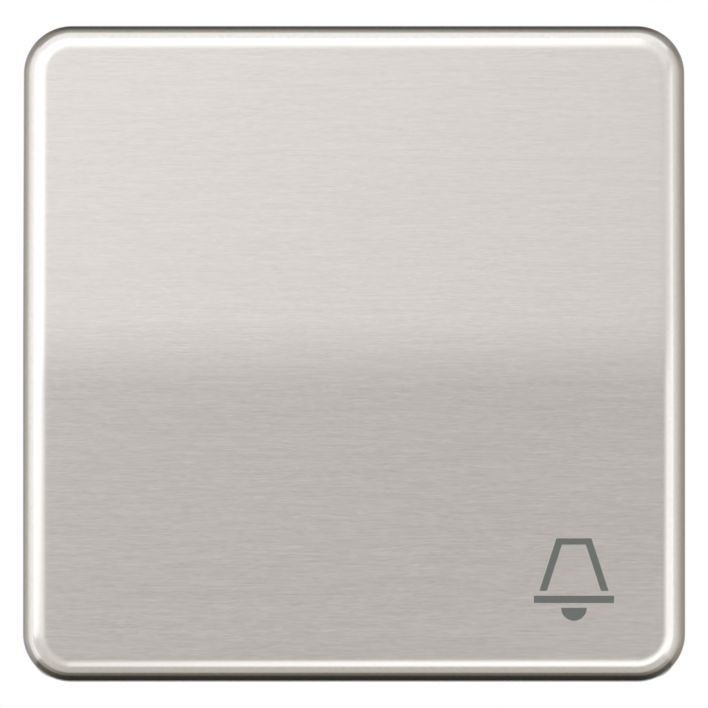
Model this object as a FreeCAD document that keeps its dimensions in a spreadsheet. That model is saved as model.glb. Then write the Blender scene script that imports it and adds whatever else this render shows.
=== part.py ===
"""Flush push button with a doorbell symbol: a metal rocker cap on a push-button insert.

Millimetres. X points right, Z up and Y into the wall. The origin is the middle of the
support plate's rear face, which lies on the wall, so the front of the button faces -Y.
A "level" is a distance ahead of the wall plane: a positive level stands proud of the
wall and a negative one is inside the wall box.
"""

import FreeCAD, Part
import math
import os

import Sketcher
from FreeCAD import Placement, Rotation, Vector

NODES_FOLDER = "parts"
os.makedirs(NODES_FOLDER, exist_ok=True)

SIZES = {
    # rocker cap, a pressed sheet with a flat roof whose ridge runs across the middle
    "cap_width": 66.0,
    "cap_height": 65.5,
    "cap_sheet": 0.6,
    "cap_corner_radius": 4.8,
    "cap_rim_radius": 2.0,
    "cap_ridge_level": 11.0,
    "cap_rear_level": 3.8,
    "roof_angle": 2.0,
    "ridge_blend_radius": 100.0,
    "crimp_tab_length": 8.0,
    "crimp_tab_reach": 1.5,
    "crimp_tab_offset": 17.0,
    # bell symbol printed on the lower half, placed from the cap's right and lower edges
    "bell_side_margin": 11.15,
    "bell_top_margin": 14.25,
    "bell_height": 5.2,
    "bell_top_half": 1.74,
    "bell_foot_half": 3.43,
    "bell_line": 0.6,
    "bell_leg_width": 0.74,
    "bell_bar_gap": 0.5,
    "bell_bar_height": 0.7,
    "bell_bar_half": 3.98,
    "bell_clapper_gap": 0.5,
    "bell_clapper_radius": 1.27,
    "print_thickness": 0.08,
    # plastic carrier inside the cap
    "carrier_gap": 0.05,
    "carrier_skin": 1.2,
    "carrier_wall": 1.3,
    "carrier_rib": 1.2,
    "seat_drop": 3.8,
    "clip_length": 4.0,
    "clip_side_inset": 2.0,
    "clip_end_inset": 4.0,
    "clip_hook": 0.6,
    "clip_nib": 0.3,
    "clip_drop": 1.2,
    "clip_gap": 0.25,
    # cradle that rocks on two stubs
    "cradle_width": 35.0,
    "cradle_height": 39.0,
    "cradle_plate": 2.0,
    "cradle_corner_radius": 2.0,
    "cheek_thickness": 1.5,
    "cheek_end_radius": 1.8,
    "cheek_half_height": 3.2,
    "foot_radius": 0.4,
    "pivot_drop": 3.0,
    "press_angle": 4.0,
    "stub_radius": 1.5,
    "stub_overhang": 0.3,
    "bearing_gap": 0.05,
    "cheek_side_gap": 0.7,
    "press_arm": 13.0,
    "press_nose_radius": 1.0,
    "press_nose_drop": 1.8,
    "press_nose_width": 5.0,
    "press_nose_half_height": 2.0,
    "spring_pin_height": 0.8,
    "spring_pin_gap": 0.3,
    # support plate
    "plate_sheet": 1.0,
    "plate_corner_radius": 3.0,
    "screw_spacing": 60.0,
    "plate_side_margin": 2.6,
    "plate_end_margin": 2.5,
    "screw_hole_radius": 1.7,
    "screw_slot_travel": 5.0,
    "window_gap": 0.2,
    # bearing frame
    "boss_side_margin": 0.8,
    "boss_end_margin": 1.5,
    "boss_corner_cut": 13.0,
    "boss_drop": 2.2,
    "flange_thickness": 1.5,
    "flange_corner_cut": 6.0,
    "flange_seat": 0.2,
    "ear_thickness": 2.0,
    "ear_wall": 0.85,
    "ear_foot_half": 3.2,
    "guide_gap": 0.1,
    "guide_tube_wall": 1.5,
    "guide_tube_length": 1.5,
    "spring_cup_radius": 2.6,
    "spring_cup_wall": 1.0,
    "spring_cup_depth": 4.0,
    "spring_cup_gap": 0.4,
    "stop_gap": 0.05,
    "stop_thickness": 1.5,
    "stop_half_width": 4.0,
    "stop_setback": 0.5,
    "latch_wall": 1.0,
    "latch_gap": 0.1,
    "latch_length": 5.5,
    "latch_half_height": 3.0,
    "latch_nose_setback": 2.1,
    "latch_nose_length": 1.8,
    "latch_nose_half_height": 1.9,
    "latch_nose_recess": 0.2,
    "stud_setback": 2.2,
    "stud_radius": 1.2,
    "stud_head_radius": 2.1,
    "stud_head_height": 0.7,
    "stud_gap": 0.05,
    # switch housing and the cover over its terminals
    "housing_shoulder": 1.0,
    "housing_corner_cut": 5.5,
    "housing_wall": 1.5,
    "housing_depth": 19.0,
    "spine_thickness": 5.0,
    "contact_cup_radius": 2.3,
    "chamber_width": 6.6,
    "chamber_gap": 0.3,
    "cover_thickness": 1.5,
    "cover_side_margin": 4.9,
    "cover_height": 12.0,
    "cover_corner_radius": 1.5,
    "wire_entry_radius": 1.4,
    "wire_side_gap": 0.3,
    "wire_rise": 2.0,
    # plunger and contact bridge
    "plunger_radius": 2.0,
    "plunger_bevel": 0.5,
    "plunger_shoulder_radius": 3.0,
    "plunger_shoulder": 1.15,
    "plunger_pin_radius": 1.0,
    "plunger_pin": 1.8,
    "bridge_length": 15.0,
    "bridge_height": 4.0,
    "bridge_corner_radius": 1.0,
    "bridge_sheet": 0.6,
    "contact_inset": 1.5,
    "contact_radius": 1.2,
    "contact_height": 0.8,
    "contact_gap": 0.03,
    # busbars, clamp springs and release levers
    "busbar_sheet": 0.8,
    "busbar_height": 7.6,
    "busbar_lap": 2.2,
    "busbar_outer_face": 15.6,
    "busbar_setback": 3.0,
    "busbar_bend_radius": 1.2,
    "clamp_sheet": 0.4,
    "clamp_height": 7.2,
    "clamp_side_gap": 0.3,
    "clamp_tip_gap": 0.25,
    "clamp_bend_radius": 1.2,
    "clamp_bend_depth": 11.5,
    "clamp_tip_setback": 3.9,
    "clamp_leg_setback": 2.5,
    "lever_width": 2.6,
    "lever_drop": 2.3,
    "lever_gap": 0.15,
    "lever_proud": 1.6,
    "lever_tip_setback": 3.4,
    "lever_shoulder": 0.35,
    "lever_shoulder_length": 1.0,
    # coil springs
    "return_coil_radius": 1.9,
    "return_wire_radius": 0.25,
    "return_coil_turns": 3.0,
    "contact_coil_radius": 1.6,
    "contact_wire_radius": 0.2,
    "contact_coil_turns": 2.0,
    "contact_spring_length": 5.2,
    "coil_end_gap": 0.05,
}


class Size:
    """A number together with the sheet expression that gives it."""

    def __init__(self, value, text):
        self.value = float(value)
        self.text = text

    def __add__(self, other):
        other = as_size(other)
        return Size(self.value + other.value, f"({self.text} + {other.text})")

    def __sub__(self, other):
        other = as_size(other)
        return Size(self.value - other.value, f"({self.text} - {other.text})")

    def __mul__(self, other):
        other = as_size(other)
        return Size(self.value * other.value, f"({self.text} * {other.text})")

    def __truediv__(self, other):
        other = as_size(other)
        return Size(self.value / other.value, f"({self.text} / {other.text})")

    def __neg__(self):
        return Size(-self.value, f"(0 - {self.text})")

    def __rmul__(self, other):
        return as_size(other) * self

    def __radd__(self, other):
        return as_size(other) + self


def as_size(number):
    """Wrap a plain number, so that it can stand in an expression."""
    return number if isinstance(number, Size) else Size(number, f"{float(number):.9g}")


def sine(angle):
    return Size(math.sin(math.radians(angle.value)), f"sin({angle.text})")


def cosine(angle):
    return Size(math.cos(math.radians(angle.value)), f"cos({angle.text})")


def tangent(angle):
    return Size(math.tan(math.radians(angle.value)), f"tan({angle.text})")


document = FreeCAD.newDocument("PushButton")
sheet = document.addObject("Spreadsheet::Sheet", "sizes")


def fill_sheet():
    """Write every size into the sheet and return the sizes by name."""
    named = {}
    for row, (name, value) in enumerate(SIZES.items(), start=1):
        sheet.set(f"A{row}", name)
        sheet.set(f"B{row}", str(value))
        sheet.setAlias(f"B{row}", name)
        named[name] = Size(value, f"sizes.{name}")
    document.recompute()
    return named


NAMED = fill_sheet()


def size(name):
    """The size that the sheet keeps under this name."""
    return NAMED[name]


def bind(item, prop, value):
    """Tie one property of an object to the sheet."""
    item.setExpression(prop, as_size(value).text)


def move(item, x=0, y=0, z=0, rotation=None):
    """Place a sub-part, with each coordinate tied to the sheet."""
    x, y, z = as_size(x), as_size(y), as_size(z)
    item.Placement = Placement(Vector(x.value, y.value, z.value), rotation or Rotation())
    bind(item, "Placement.Base.x", x)
    bind(item, "Placement.Base.y", y)
    bind(item, "Placement.Base.z", z)


def arc_between(start, end, radius):
    """The shorter arc from start to end that bulges to the right of the way."""
    dx = end[0] - start[0]
    dy = end[1] - start[1]
    half = math.hypot(dx, dy) / 2
    rise = math.sqrt(max(radius**2 - half**2, 0))
    centre_x = (start[0] + end[0]) / 2 - dy / (2 * half) * rise
    centre_y = (start[1] + end[1]) / 2 + dx / (2 * half) * rise
    first = math.atan2(start[1] - centre_y, start[0] - centre_x)
    last = math.atan2(end[1] - centre_y, end[0] - centre_x)
    if last < first:
        last += 2 * math.pi
    circle = Part.Circle(Vector(centre_x, centre_y, 0), Vector(0, 0, 1), radius)
    return Part.ArcOfCircle(circle, first, last)


class Drawing:
    """A sketch on an origin plane of its body, dimensioned from the sheet.

    On the XZ plane the sketch shows the object from the front and its lift is a level.
    On the YZ plane it shows the side, and on the XY plane the object from above.
    """

    def __init__(self, body, name, plane, lift=0):
        lift = as_size(lift)
        self.sketch = body.newObject("Sketcher::SketchObject", name)
        support = [f for f in body.Origin.OriginFeatures if f.Role == plane][0]
        self.sketch.AttachmentSupport = (support, [""])
        self.sketch.MapMode = "FlatFace"
        self.sketch.AttachmentOffset = Placement(Vector(0, 0, lift.value), Rotation())
        bind(self.sketch, "AttachmentOffset.Base.z", lift)

    def dimension(self, kind, value, *geometry):
        """Add one driving dimension and tie it to the sheet."""
        value = as_size(value)
        index = self.sketch.addConstraint(Sketcher.Constraint(kind, *geometry, value.value))
        bind(self.sketch, f"Constraints[{index}]", value)

    def fix(self, geometry, position, x, y):
        """Hold one point of the drawing at its coordinates."""
        self.dimension("DistanceX", x, -1, 1, geometry, position)
        self.dimension("DistanceY", y, -1, 1, geometry, position)

    def join(self, kind, *ends):
        self.sketch.addConstraint(Sketcher.Constraint(kind, *ends))

    def outline(self, points, arcs=None):
        """Draw a closed loop; arcs gives the radius of each side that bulges outwards."""
        arcs = arcs or {}
        first = self.sketch.GeometryCount
        points = [(as_size(x), as_size(y)) for x, y in points]
        flat = [(x.value, y.value) for x, y in points]
        count = len(points)
        for side in range(count):
            start = flat[side]
            end = flat[(side + 1) % count]
            if side in arcs:
                edge = arc_between(start, end, arcs[side].value)
            else:
                edge = Part.LineSegment(Vector(*start, 0), Vector(*end, 0))
            self.sketch.addGeometry(edge, False)
        for side in range(count):
            self.join("Coincident", first + side, 2, first + (side + 1) % count, 1)
            self.fix(first + side, 1, *points[side])
        for side, radius in arcs.items():
            self.dimension("Radius", radius, first + side)

    def belt(self, circles):
        """Draw the loop that a belt would take around circles given counterclockwise."""
        first = self.sketch.GeometryCount
        circles = [[as_size(value) for value in circle] for circle in circles]
        flat = [[value.value for value in circle] for circle in circles]
        count = len(circles)
        touch = [belt_touch(flat[k], flat[(k + 1) % count]) for k in range(count)]
        for k in range(count):
            x, y, radius = flat[k]
            arrive = touch[k - 1][1]
            leave = touch[k][0]
            start = math.atan2(arrive[1] - y, arrive[0] - x)
            end = math.atan2(leave[1] - y, leave[0] - x)
            if end < start:
                end += 2 * math.pi
            circle = Part.Circle(Vector(x, y, 0), Vector(0, 0, 1), radius)
            self.sketch.addGeometry(Part.ArcOfCircle(circle, start, end), False)
            self.sketch.addGeometry(
                Part.LineSegment(Vector(*touch[k][0], 0), Vector(*touch[k][1], 0)), False
            )
        for k in range(count):
            arc = first + 2 * k
            self.join("Tangent", arc + 1, 1, arc, 2)
            self.join("Tangent", arc + 1, 2, first + 2 * ((k + 1) % count), 1)
            self.fix(arc, 3, circles[k][0], circles[k][1])
            self.dimension("Radius", circles[k][2], arc)

    def circle(self, x, y, radius):
        """Draw one circle."""
        x, y, radius = as_size(x), as_size(y), as_size(radius)
        centre = Vector(x.value, y.value, 0)
        index = self.sketch.addGeometry(Part.Circle(centre, Vector(0, 0, 1), radius.value), False)
        self.fix(index, 3, x, y)
        self.dimension("Radius", radius, index)

    def hairpin(self, start, centre, radius, tip):
        """Draw a strip's path: straight to an arc, round it and straight on to the tip."""
        side = 1 if tip[0].value > start[0].value else -1
        x, y = centre[0].value, centre[1].value
        away = math.hypot(tip[0].value - x, tip[1].value - y)
        lean = math.atan2(tip[1].value - y, side * (tip[0].value - x))
        turn = lean - math.acos(radius.value / away)
        leave = (x + side * radius.value * math.cos(turn), y + radius.value * math.sin(turn))
        begin = (start[0].value, y)
        circle = Part.Circle(Vector(x, y, 0), Vector(0, 0, 1), radius.value)
        angles = (math.pi, 2 * math.pi + turn) if side > 0 else (math.pi - turn, 2 * math.pi)
        add = self.sketch.addGeometry
        first = add(Part.LineSegment(Vector(begin[0], start[1].value, 0), Vector(*begin, 0)), False)
        arc = add(Part.ArcOfCircle(circle, *angles), False)
        last = add(Part.LineSegment(Vector(*leave, 0), Vector(tip[0].value, tip[1].value, 0)), False)
        self.join("Tangent", first, 2, arc, 1 if side > 0 else 2)
        self.join("Tangent", last, 1, arc, 2 if side > 0 else 1)
        self.fix(first, 1, *start)
        self.fix(arc, 3, *centre)
        self.dimension("Radius", radius, arc)
        self.fix(last, 2, *tip)


def belt_touch(one, other):
    """The points where a belt leaves one circle and meets the next."""
    dx = other[0] - one[0]
    dy = other[1] - one[1]
    span = math.hypot(dx, dy)
    along = (one[2] - other[2]) / span
    across = math.sqrt(1 - along**2)
    nx = (dx * along + dy * across) / span
    ny = (dy * along - dx * across) / span
    leave = (one[0] + one[2] * nx, one[1] + one[2] * ny)
    meet = (other[0] + other[2] * nx, other[1] + other[2] * ny)
    return leave, meet


def rectangle(x0, x1, y0, y1):
    """Corner points of an upright rectangle."""
    return [(x0, y0), (x1, y0), (x1, y1), (x0, y1)]


def octagon(half_width, half_height, cut):
    """Corner points of an upright rectangle with its corners cut off."""
    short_x = half_width - cut
    short_y = half_height - cut
    return [
        (half_width, -short_y),
        (half_width, short_y),
        (short_x, half_height),
        (-short_x, half_height),
        (-half_width, short_y),
        (-half_width, -short_y),
        (-short_x, -half_height),
        (short_x, -half_height),
    ]


def round_corners(half_width, half_height, radius):
    """The four corner circles of a rounded rectangle, for a belt."""
    x = half_width - radius
    y = half_height - radius
    return [(x, y, radius), (-x, y, radius), (-x, -y, radius), (x, -y, radius)]


class Piece:
    """One separate piece of the object, modelled as a body."""

    def __init__(self, label):
        self.body = document.addObject("PartDesign::Body", label)
        self.body.Label = label

    def draw(self, name, plane, lift=0):
        return Drawing(self.body, f"{self.body.Label}_{name}", plane, lift)

    def volume(self):
        shape = self.body.Shape
        return 0.0 if shape.isNull() else shape.Volume

    def feature(self, kind, name, settings, bound):
        """Add a feature, set it up, tie its sizes to the sheet and recompute."""
        item = self.body.newObject(f"PartDesign::{kind}", f"{self.body.Label}_{name}")
        for prop, value in settings.items():
            setattr(item, prop, value)
        for prop, value in bound.items():
            setattr(item, prop, as_size(value).value)
            bind(item, prop, value)
        self.body.Tip = item
        document.recompute()
        return item

    def pad(self, name, drawing, length, symmetric=False):
        """Add material from the drawing, along its normal or to both sides of it."""
        before = self.volume()
        settings = {
            "Profile": (drawing.sketch, [""]),
            "SideType": "Symmetric" if symmetric else "One side",
        }
        item = self.feature("Pad", name, settings, {"Length": length})
        if self.volume() <= before:
            raise RuntimeError(f"{name} of {self.body.Label} adds nothing")
        return item

    def pocket(self, name, drawing, depth, symmetric=False):
        """Cut from the drawing against its normal, or to both sides of it."""
        before = self.volume()
        settings = {
            "Profile": (drawing.sketch, [""]),
            "SideType": "Symmetric" if symmetric else "One side",
        }
        item = self.feature("Pocket", name, settings, {"Length": depth})
        if self.volume() >= before:
            raise RuntimeError(f"{name} of {self.body.Label} cuts nothing")
        return item

    def fillet(self, name, radius, test):
        """Round the edges of the body that pass the test."""
        edges = [f"Edge{k}" for k, e in enumerate(self.body.Shape.Edges, start=1) if test(e)]
        return self.feature("Fillet", name, {"Base": (self.body.Tip, edges)}, {"Radius": radius})

    def chamfer(self, name, length, test):
        """Bevel the edges of the body that pass the test."""
        edges = [f"Edge{k}" for k, e in enumerate(self.body.Shape.Edges, start=1) if test(e)]
        return self.feature("Chamfer", name, {"Base": (self.body.Tip, edges)}, {"Size": length})

    def cut_out(self, other):
        """Remove the form of another body, which is then used up."""
        before = self.volume()
        settings = {"Type": "Cut", "Group": [other.body]}
        item = self.feature("Boolean", f"less_{other.body.Label}", settings, {})
        if self.volume() >= before:
            raise RuntimeError(f"{other.body.Label} removes nothing from {self.body.Label}")
        return item

    def mirror(self, name, originals, plane):
        """Repeat features on the other side of an origin plane."""
        support = [f for f in self.body.Origin.OriginFeatures if f.Role == plane][0]
        settings = {"Originals": originals, "MirrorPlane": (support, [""])}
        return self.feature("Mirrored", name, settings, {})


def is_along(edge, axis):
    """Whether an edge is straight and runs along one of the axes."""
    box = edge.BoundBox
    lengths = {"X": box.XLength, "Y": box.YLength, "Z": box.ZLength}
    return lengths.pop(axis) > 1e-6 and max(lengths.values()) < 1e-6


def faces_front(face):
    """Whether a face looks away from the wall, give or take the roof's slope."""
    low_u, high_u, low_v, high_v = face.ParameterRange
    return face.normalAt((low_u + high_u) / 2, (low_v + high_v) / 2).y < -0.9


def rim_test(shape):
    """A test for the edges that bound the front of a shape."""
    front = [face for face in shape.Faces if faces_front(face)]

    def test(edge):
        return sum(any(edge.isSame(other) for other in face.Edges) for face in front) == 1

    return test


# places that several pieces share
CARRIER_INSET = size("cap_sheet") + size("carrier_gap")
CARRIER_REAR = size("cap_rear_level") + size("cap_sheet")
CARRIER_HALF_WIDTH = size("cap_width") / 2 - CARRIER_INSET - size("carrier_wall")
CARRIER_HALF_HEIGHT = size("cap_height") / 2 - CARRIER_INSET - size("carrier_wall")
SEAT_LEVEL = size("cap_ridge_level") - size("seat_drop")
PIVOT_LEVEL = SEAT_LEVEL - size("pivot_drop")
BOSS_LEVEL = PIVOT_LEVEL - size("boss_drop")
CRADLE_UNDERSIDE = SEAT_LEVEL - size("cradle_plate")
CHEEK_FACE = size("cradle_width") / 2
CRADLE_END = size("cradle_height") / 2
CLIP_X = CHEEK_FACE - size("clip_side_inset")
CLIP_Z = CRADLE_END - size("clip_end_inset")
EAR_INNER = CHEEK_FACE + size("cheek_side_gap")
EAR_OUTER = EAR_INNER + size("ear_thickness")
BOSS_HALF_WIDTH = EAR_OUTER + size("boss_side_margin")
BOSS_HALF_HEIGHT = CRADLE_END + size("boss_end_margin")
STUD_SETBACK = size("stud_setback") - size("boss_corner_cut") / 2
STUD_X = BOSS_HALF_WIDTH + STUD_SETBACK
STUD_Z = BOSS_HALF_HEIGHT + STUD_SETBACK
HOUSING_HALF_WIDTH = BOSS_HALF_WIDTH + size("housing_shoulder")
HOUSING_HALF_HEIGHT = BOSS_HALF_HEIGHT + size("housing_shoulder")
CUP_OUTER_RADIUS = size("spring_cup_radius") + size("spring_cup_wall")
CUP_TO_PLUNGER = CUP_OUTER_RADIUS + size("plunger_shoulder_radius") + size("spring_cup_gap")
SPRING_ARM = size("press_arm") - CUP_TO_PLUNGER
NOSE_TIP = CRADLE_UNDERSIDE - size("press_nose_drop")
PLUNGER_TIP = NOSE_TIP - size("stop_gap")
PLUNGER_TRAVEL = size("press_arm") * size("press_angle") * math.radians(1)
GUIDE_END = -(size("flange_thickness") + size("guide_tube_length"))
SHOULDER_FRONT = GUIDE_END - size("stop_gap")
BRIDGE_FRONT = SHOULDER_FRONT - size("plunger_shoulder")
BRIDGE_REAR = BRIDGE_FRONT - size("bridge_sheet")
MOVING_CONTACT_REAR = BRIDGE_REAR - size("contact_height")
FIXED_CONTACT_FRONT = MOVING_CONTACT_REAR - PLUNGER_TRAVEL - size("contact_gap")
BUSBAR_FRONT = FIXED_CONTACT_FRONT - size("contact_height")
BUSBAR_REAR = BUSBAR_FRONT - size("busbar_sheet")
CONTACT_SPRING_FLOOR = BRIDGE_REAR - size("contact_spring_length")
HOUSING_FRONT = -size("flange_thickness")
HOUSING_REAR = HOUSING_FRONT - size("housing_depth")
HOUSING_FLOOR = HOUSING_REAR + size("housing_wall")
COVER_REAR = HOUSING_REAR - size("cover_thickness")
SPRING_FLOOR = -size("spring_cup_depth")
BUSBAR_INNER_FACE = size("busbar_outer_face") - size("busbar_sheet")
BUSBAR_DEPTH = -(HOUSING_REAR + size("busbar_setback"))
SPINE_HALF_WIDTH = size("busbar_outer_face") - size("chamber_width")
WIRE_X = BUSBAR_INNER_FACE - size("wire_side_gap") - size("wire_entry_radius")
CONTACT_X = size("bridge_length") / 2 - size("contact_inset")
LATCH_REACH = size("latch_gap") + size("latch_wall")
LATCH_OUTER = HOUSING_HALF_WIDTH + LATCH_REACH
FLANGE_END = HOUSING_HALF_HEIGHT + LATCH_REACH
HOOK_LEVEL = CRADLE_UNDERSIDE - size("stop_gap")
SIDES = (-1, 1)


def rocker_block(piece, inset, rear_level):
    """A solid with the cap's roof and corners, drawn in by an inset from its surface."""
    angle = size("roof_angle")
    half_width = size("cap_width") / 2 - inset
    half_height = size("cap_height") / 2 - inset
    ridge = size("cap_ridge_level") - inset / cosine(angle)
    blend = size("ridge_blend_radius") - inset
    blend_half = blend * sine(angle)
    side = piece.draw("side", "YZ_Plane")
    side.outline(
        [
            (-rear_level, -half_height),
            (-rear_level, half_height),
            (half_height * tangent(angle) - ridge, half_height),
            (blend_half * tangent(angle) - ridge, blend_half),
            (blend_half * tangent(angle) - ridge, -blend_half),
            (half_height * tangent(angle) - ridge, -half_height),
        ],
        arcs={3: blend},
    )
    piece.pad("block", side, 2 * half_width, symmetric=True)
    corner = size("cap_corner_radius") - inset
    piece.fillet("corners", corner, lambda edge: is_along(edge, "Y"))


def make_cap():
    """The pressed cover, open at the rear, with eight tabs crimped behind the carrier."""
    piece = Piece("button_cap")
    sheet_thickness = size("cap_sheet")
    rear = size("cap_rear_level")
    rocker_block(piece, as_size(0), rear)
    piece.fillet("rim", size("cap_rim_radius"), rim_test(piece.body.Shape))
    hollow = Piece("cap_hollow")
    rocker_block(hollow, sheet_thickness, rear)
    inner_rim = size("cap_rim_radius") - sheet_thickness
    bevel = inner_rim * (2 - math.sqrt(2))
    hollow.chamfer("rim", bevel, rim_test(hollow.body.Shape))
    piece.cut_out(hollow)
    tabs = piece.draw("tabs", "XZ_Plane", rear)
    root = sheet_thickness / 2
    reach = sheet_thickness + size("crimp_tab_reach")
    half_length = size("crimp_tab_length") / 2
    for side in SIDES:
        for place in SIDES:
            low = place * size("crimp_tab_offset") - half_length
            high = place * size("crimp_tab_offset") + half_length
            across = size("cap_width") / 2
            tabs.outline(rectangle(side * (across - root), side * (across - reach), low, high))
            across = size("cap_height") / 2
            tabs.outline(rectangle(low, high, side * (across - root), side * (across - reach)))
    piece.pad("crimp", tabs, sheet_thickness)
    return piece.body


def make_symbol():
    """The print: a bell drawn as a line, its foot line and a half-round clapper."""
    piece = Piece("bell_symbol")
    middle = size("cap_width") / 2 - size("bell_side_margin")
    thickness = size("print_thickness")
    top = size("bell_top_margin") - size("cap_height") / 2
    foot = top - size("bell_height")
    bar_top = foot - size("bell_bar_gap")
    bar_bottom = bar_top - size("bell_bar_height")
    clapper_top = bar_bottom - size("bell_clapper_gap")
    radius = size("bell_clapper_radius")
    bell_half = size("bell_top_half")
    foot_half = size("bell_foot_half")
    spread = (foot_half - bell_half) / size("bell_height")
    under = bell_half + spread * size("bell_line") - size("bell_leg_width")
    inner_foot = foot_half - size("bell_leg_width")
    clapper = piece.draw("clapper", "XZ_Plane")
    clapper.outline(
        [(middle - radius, clapper_top), (middle + radius, clapper_top)],
        arcs={0: radius},
    )
    piece.pad("clapper_pad", clapper, thickness)
    lines = piece.draw("lines", "XZ_Plane")
    lines.outline(
        [
            (middle - bell_half, top),
            (middle - foot_half, foot),
            (middle - inner_foot, foot),
            (middle - under, top - size("bell_line")),
            (middle + under, top - size("bell_line")),
            (middle + inner_foot, foot),
            (middle + foot_half, foot),
            (middle + bell_half, top),
        ]
    )
    bar_half = size("bell_bar_half")
    lines.outline(rectangle(middle - bar_half, middle + bar_half, bar_bottom, bar_top))
    piece.pad("bell_pad", lines, thickness)
    slope = Rotation(Vector(1, 0, 0), size("roof_angle").value)
    move(piece.body, y=-size("cap_ridge_level"), rotation=slope)
    bind(piece.body, "Placement.Rotation.Angle", size("roof_angle"))
    return piece.body


def make_carrier():
    """The moulding that fills the cap: walls, a grid of ribs and four clip legs."""
    piece = Piece("rocker_carrier")
    rocker_block(piece, CARRIER_INSET, CARRIER_REAR)
    bevel = size("cap_rim_radius") - CARRIER_INSET
    piece.chamfer("rim", bevel, rim_test(piece.body.Shape))
    seat = SEAT_LEVEL
    corner = size("cap_corner_radius") - CARRIER_INSET - size("carrier_wall")
    hollow = piece.draw("hollow", "XZ_Plane", seat)
    hollow.belt(round_corners(CARRIER_HALF_WIDTH, CARRIER_HALF_HEIGHT, corner))
    piece.pocket("hollow_cut", hollow, seat - CARRIER_REAR)

    angle = size("roof_angle")
    depth = CARRIER_INSET + size("carrier_skin")
    under_ridge = size("cap_ridge_level") - depth / cosine(angle)
    half_rib = size("carrier_rib") / 2
    margin = size("carrier_wall")
    rows = (
        (half_rib, CLIP_Z - half_rib),
        (CLIP_Z + half_rib, CARRIER_HALF_HEIGHT - margin),
    )
    columns = (
        (half_rib, CLIP_X - half_rib),
        (CLIP_X + half_rib, CARRIER_HALF_WIDTH - margin),
    )
    cuts = []
    for index, (near, far) in enumerate(columns):
        cells = piece.draw(f"cells_{index}", "YZ_Plane", far)
        for low, high in rows:
            for side in SIDES:
                cells.outline(
                    [
                        (-seat, side * low),
                        (-seat, side * high),
                        (high * tangent(angle) - under_ridge, side * high),
                        (low * tangent(angle) - under_ridge, side * low),
                    ]
                )
        cuts.append(piece.pocket(f"cells_cut_{index}", cells, far - near))
    piece.mirror("cells_left", cuts, "YZ_Plane")

    tip = CRADLE_UNDERSIDE - size("clip_drop")
    half_length = size("clip_length") / 2
    legs = piece.draw("legs", "XZ_Plane", tip)
    for across in SIDES:
        for up in SIDES:
            legs.outline(
                rectangle(
                    across * CLIP_X - half_rib,
                    across * CLIP_X + half_rib,
                    up * CLIP_Z - half_length,
                    up * CLIP_Z + half_length,
                )
            )
    piece.pad("clip_legs", legs, under_ridge - tip)
    for up in SIDES:
        name = "lower" if up < 0 else "upper"
        hooks = piece.draw(f"hooks_{name}", "XY_Plane", up * CLIP_Z - half_length)
        for across in SIDES:
            face = CLIP_X - half_rib
            point = face - size("clip_gap") - size("clip_hook")
            hooks.outline(
                [
                    (across * (face + half_rib), -HOOK_LEVEL),
                    (across * point, -HOOK_LEVEL),
                    (across * point, size("clip_nib") - HOOK_LEVEL),
                    (across * face, -tip),
                    (across * (face + half_rib), -tip),
                ]
            )
        piece.pad(f"clip_hooks_{name}", hooks, size("clip_length"))
    return piece.body


def make_cradle():
    """The rocking plate with its two pivot cheeks, press nose and spring pin."""
    piece = Piece("rocker_cradle")
    half_width = CHEEK_FACE
    plate = piece.draw("plate", "XZ_Plane", CRADLE_UNDERSIDE)
    plate.belt(round_corners(half_width, CRADLE_END, size("cradle_corner_radius")))
    half_slot = size("carrier_rib") / 2 + size("clip_gap")
    half_length = size("clip_length") / 2 + size("clip_gap")
    for across in SIDES:
        for up in SIDES:
            plate.outline(
                rectangle(
                    across * CLIP_X - half_slot,
                    across * CLIP_X + half_slot,
                    up * CLIP_Z - half_length,
                    up * CLIP_Z + half_length,
                )
            )
    piece.pad("plate_pad", plate, size("cradle_plate"))

    foot = size("foot_radius")
    foot_level = CRADLE_UNDERSIDE + foot
    pivot = PIVOT_LEVEL
    for side in SIDES:
        name = "left" if side < 0 else "right"
        cheek_start = half_width - size("cheek_thickness")
        start = cheek_start if side > 0 else -half_width
        cheek = piece.draw(f"cheek_{name}", "YZ_Plane", start)
        spread = size("cheek_half_height") - foot
        cheek.belt(
            [
                (-pivot, 0, size("cheek_end_radius")),
                (-foot_level, spread, foot),
                (-foot_level, -spread, foot),
            ]
        )
        piece.pad(f"cheek_pad_{name}", cheek, size("cheek_thickness"))
        reach = EAR_OUTER + size("stub_overhang")
        stub = piece.draw(f"stub_{name}", "YZ_Plane", cheek_start if side > 0 else -reach)
        stub.circle(-pivot, 0, size("stub_radius"))
        piece.pad(f"stub_pad_{name}", stub, reach - cheek_start)

    arm = size("press_arm")
    nose_radius = size("press_nose_radius")
    spread = size("press_nose_half_height") - foot
    nose = piece.draw("nose", "YZ_Plane")
    nose.belt(
        [
            (-(NOSE_TIP + nose_radius), -arm, nose_radius),
            (-foot_level, spread - arm, foot),
            (-foot_level, -(spread + arm), foot),
        ]
    )
    piece.pad("nose_pad", nose, size("press_nose_width"), symmetric=True)
    pin = piece.draw("pin", "XZ_Plane", CRADLE_UNDERSIDE - size("spring_pin_height"))
    inside = size("return_coil_radius") - size("return_wire_radius")
    pin.circle(0, -SPRING_ARM, inside - size("spring_pin_gap"))
    piece.pad("pin_pad", pin, size("spring_pin_height") + foot)
    return piece.body


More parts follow.
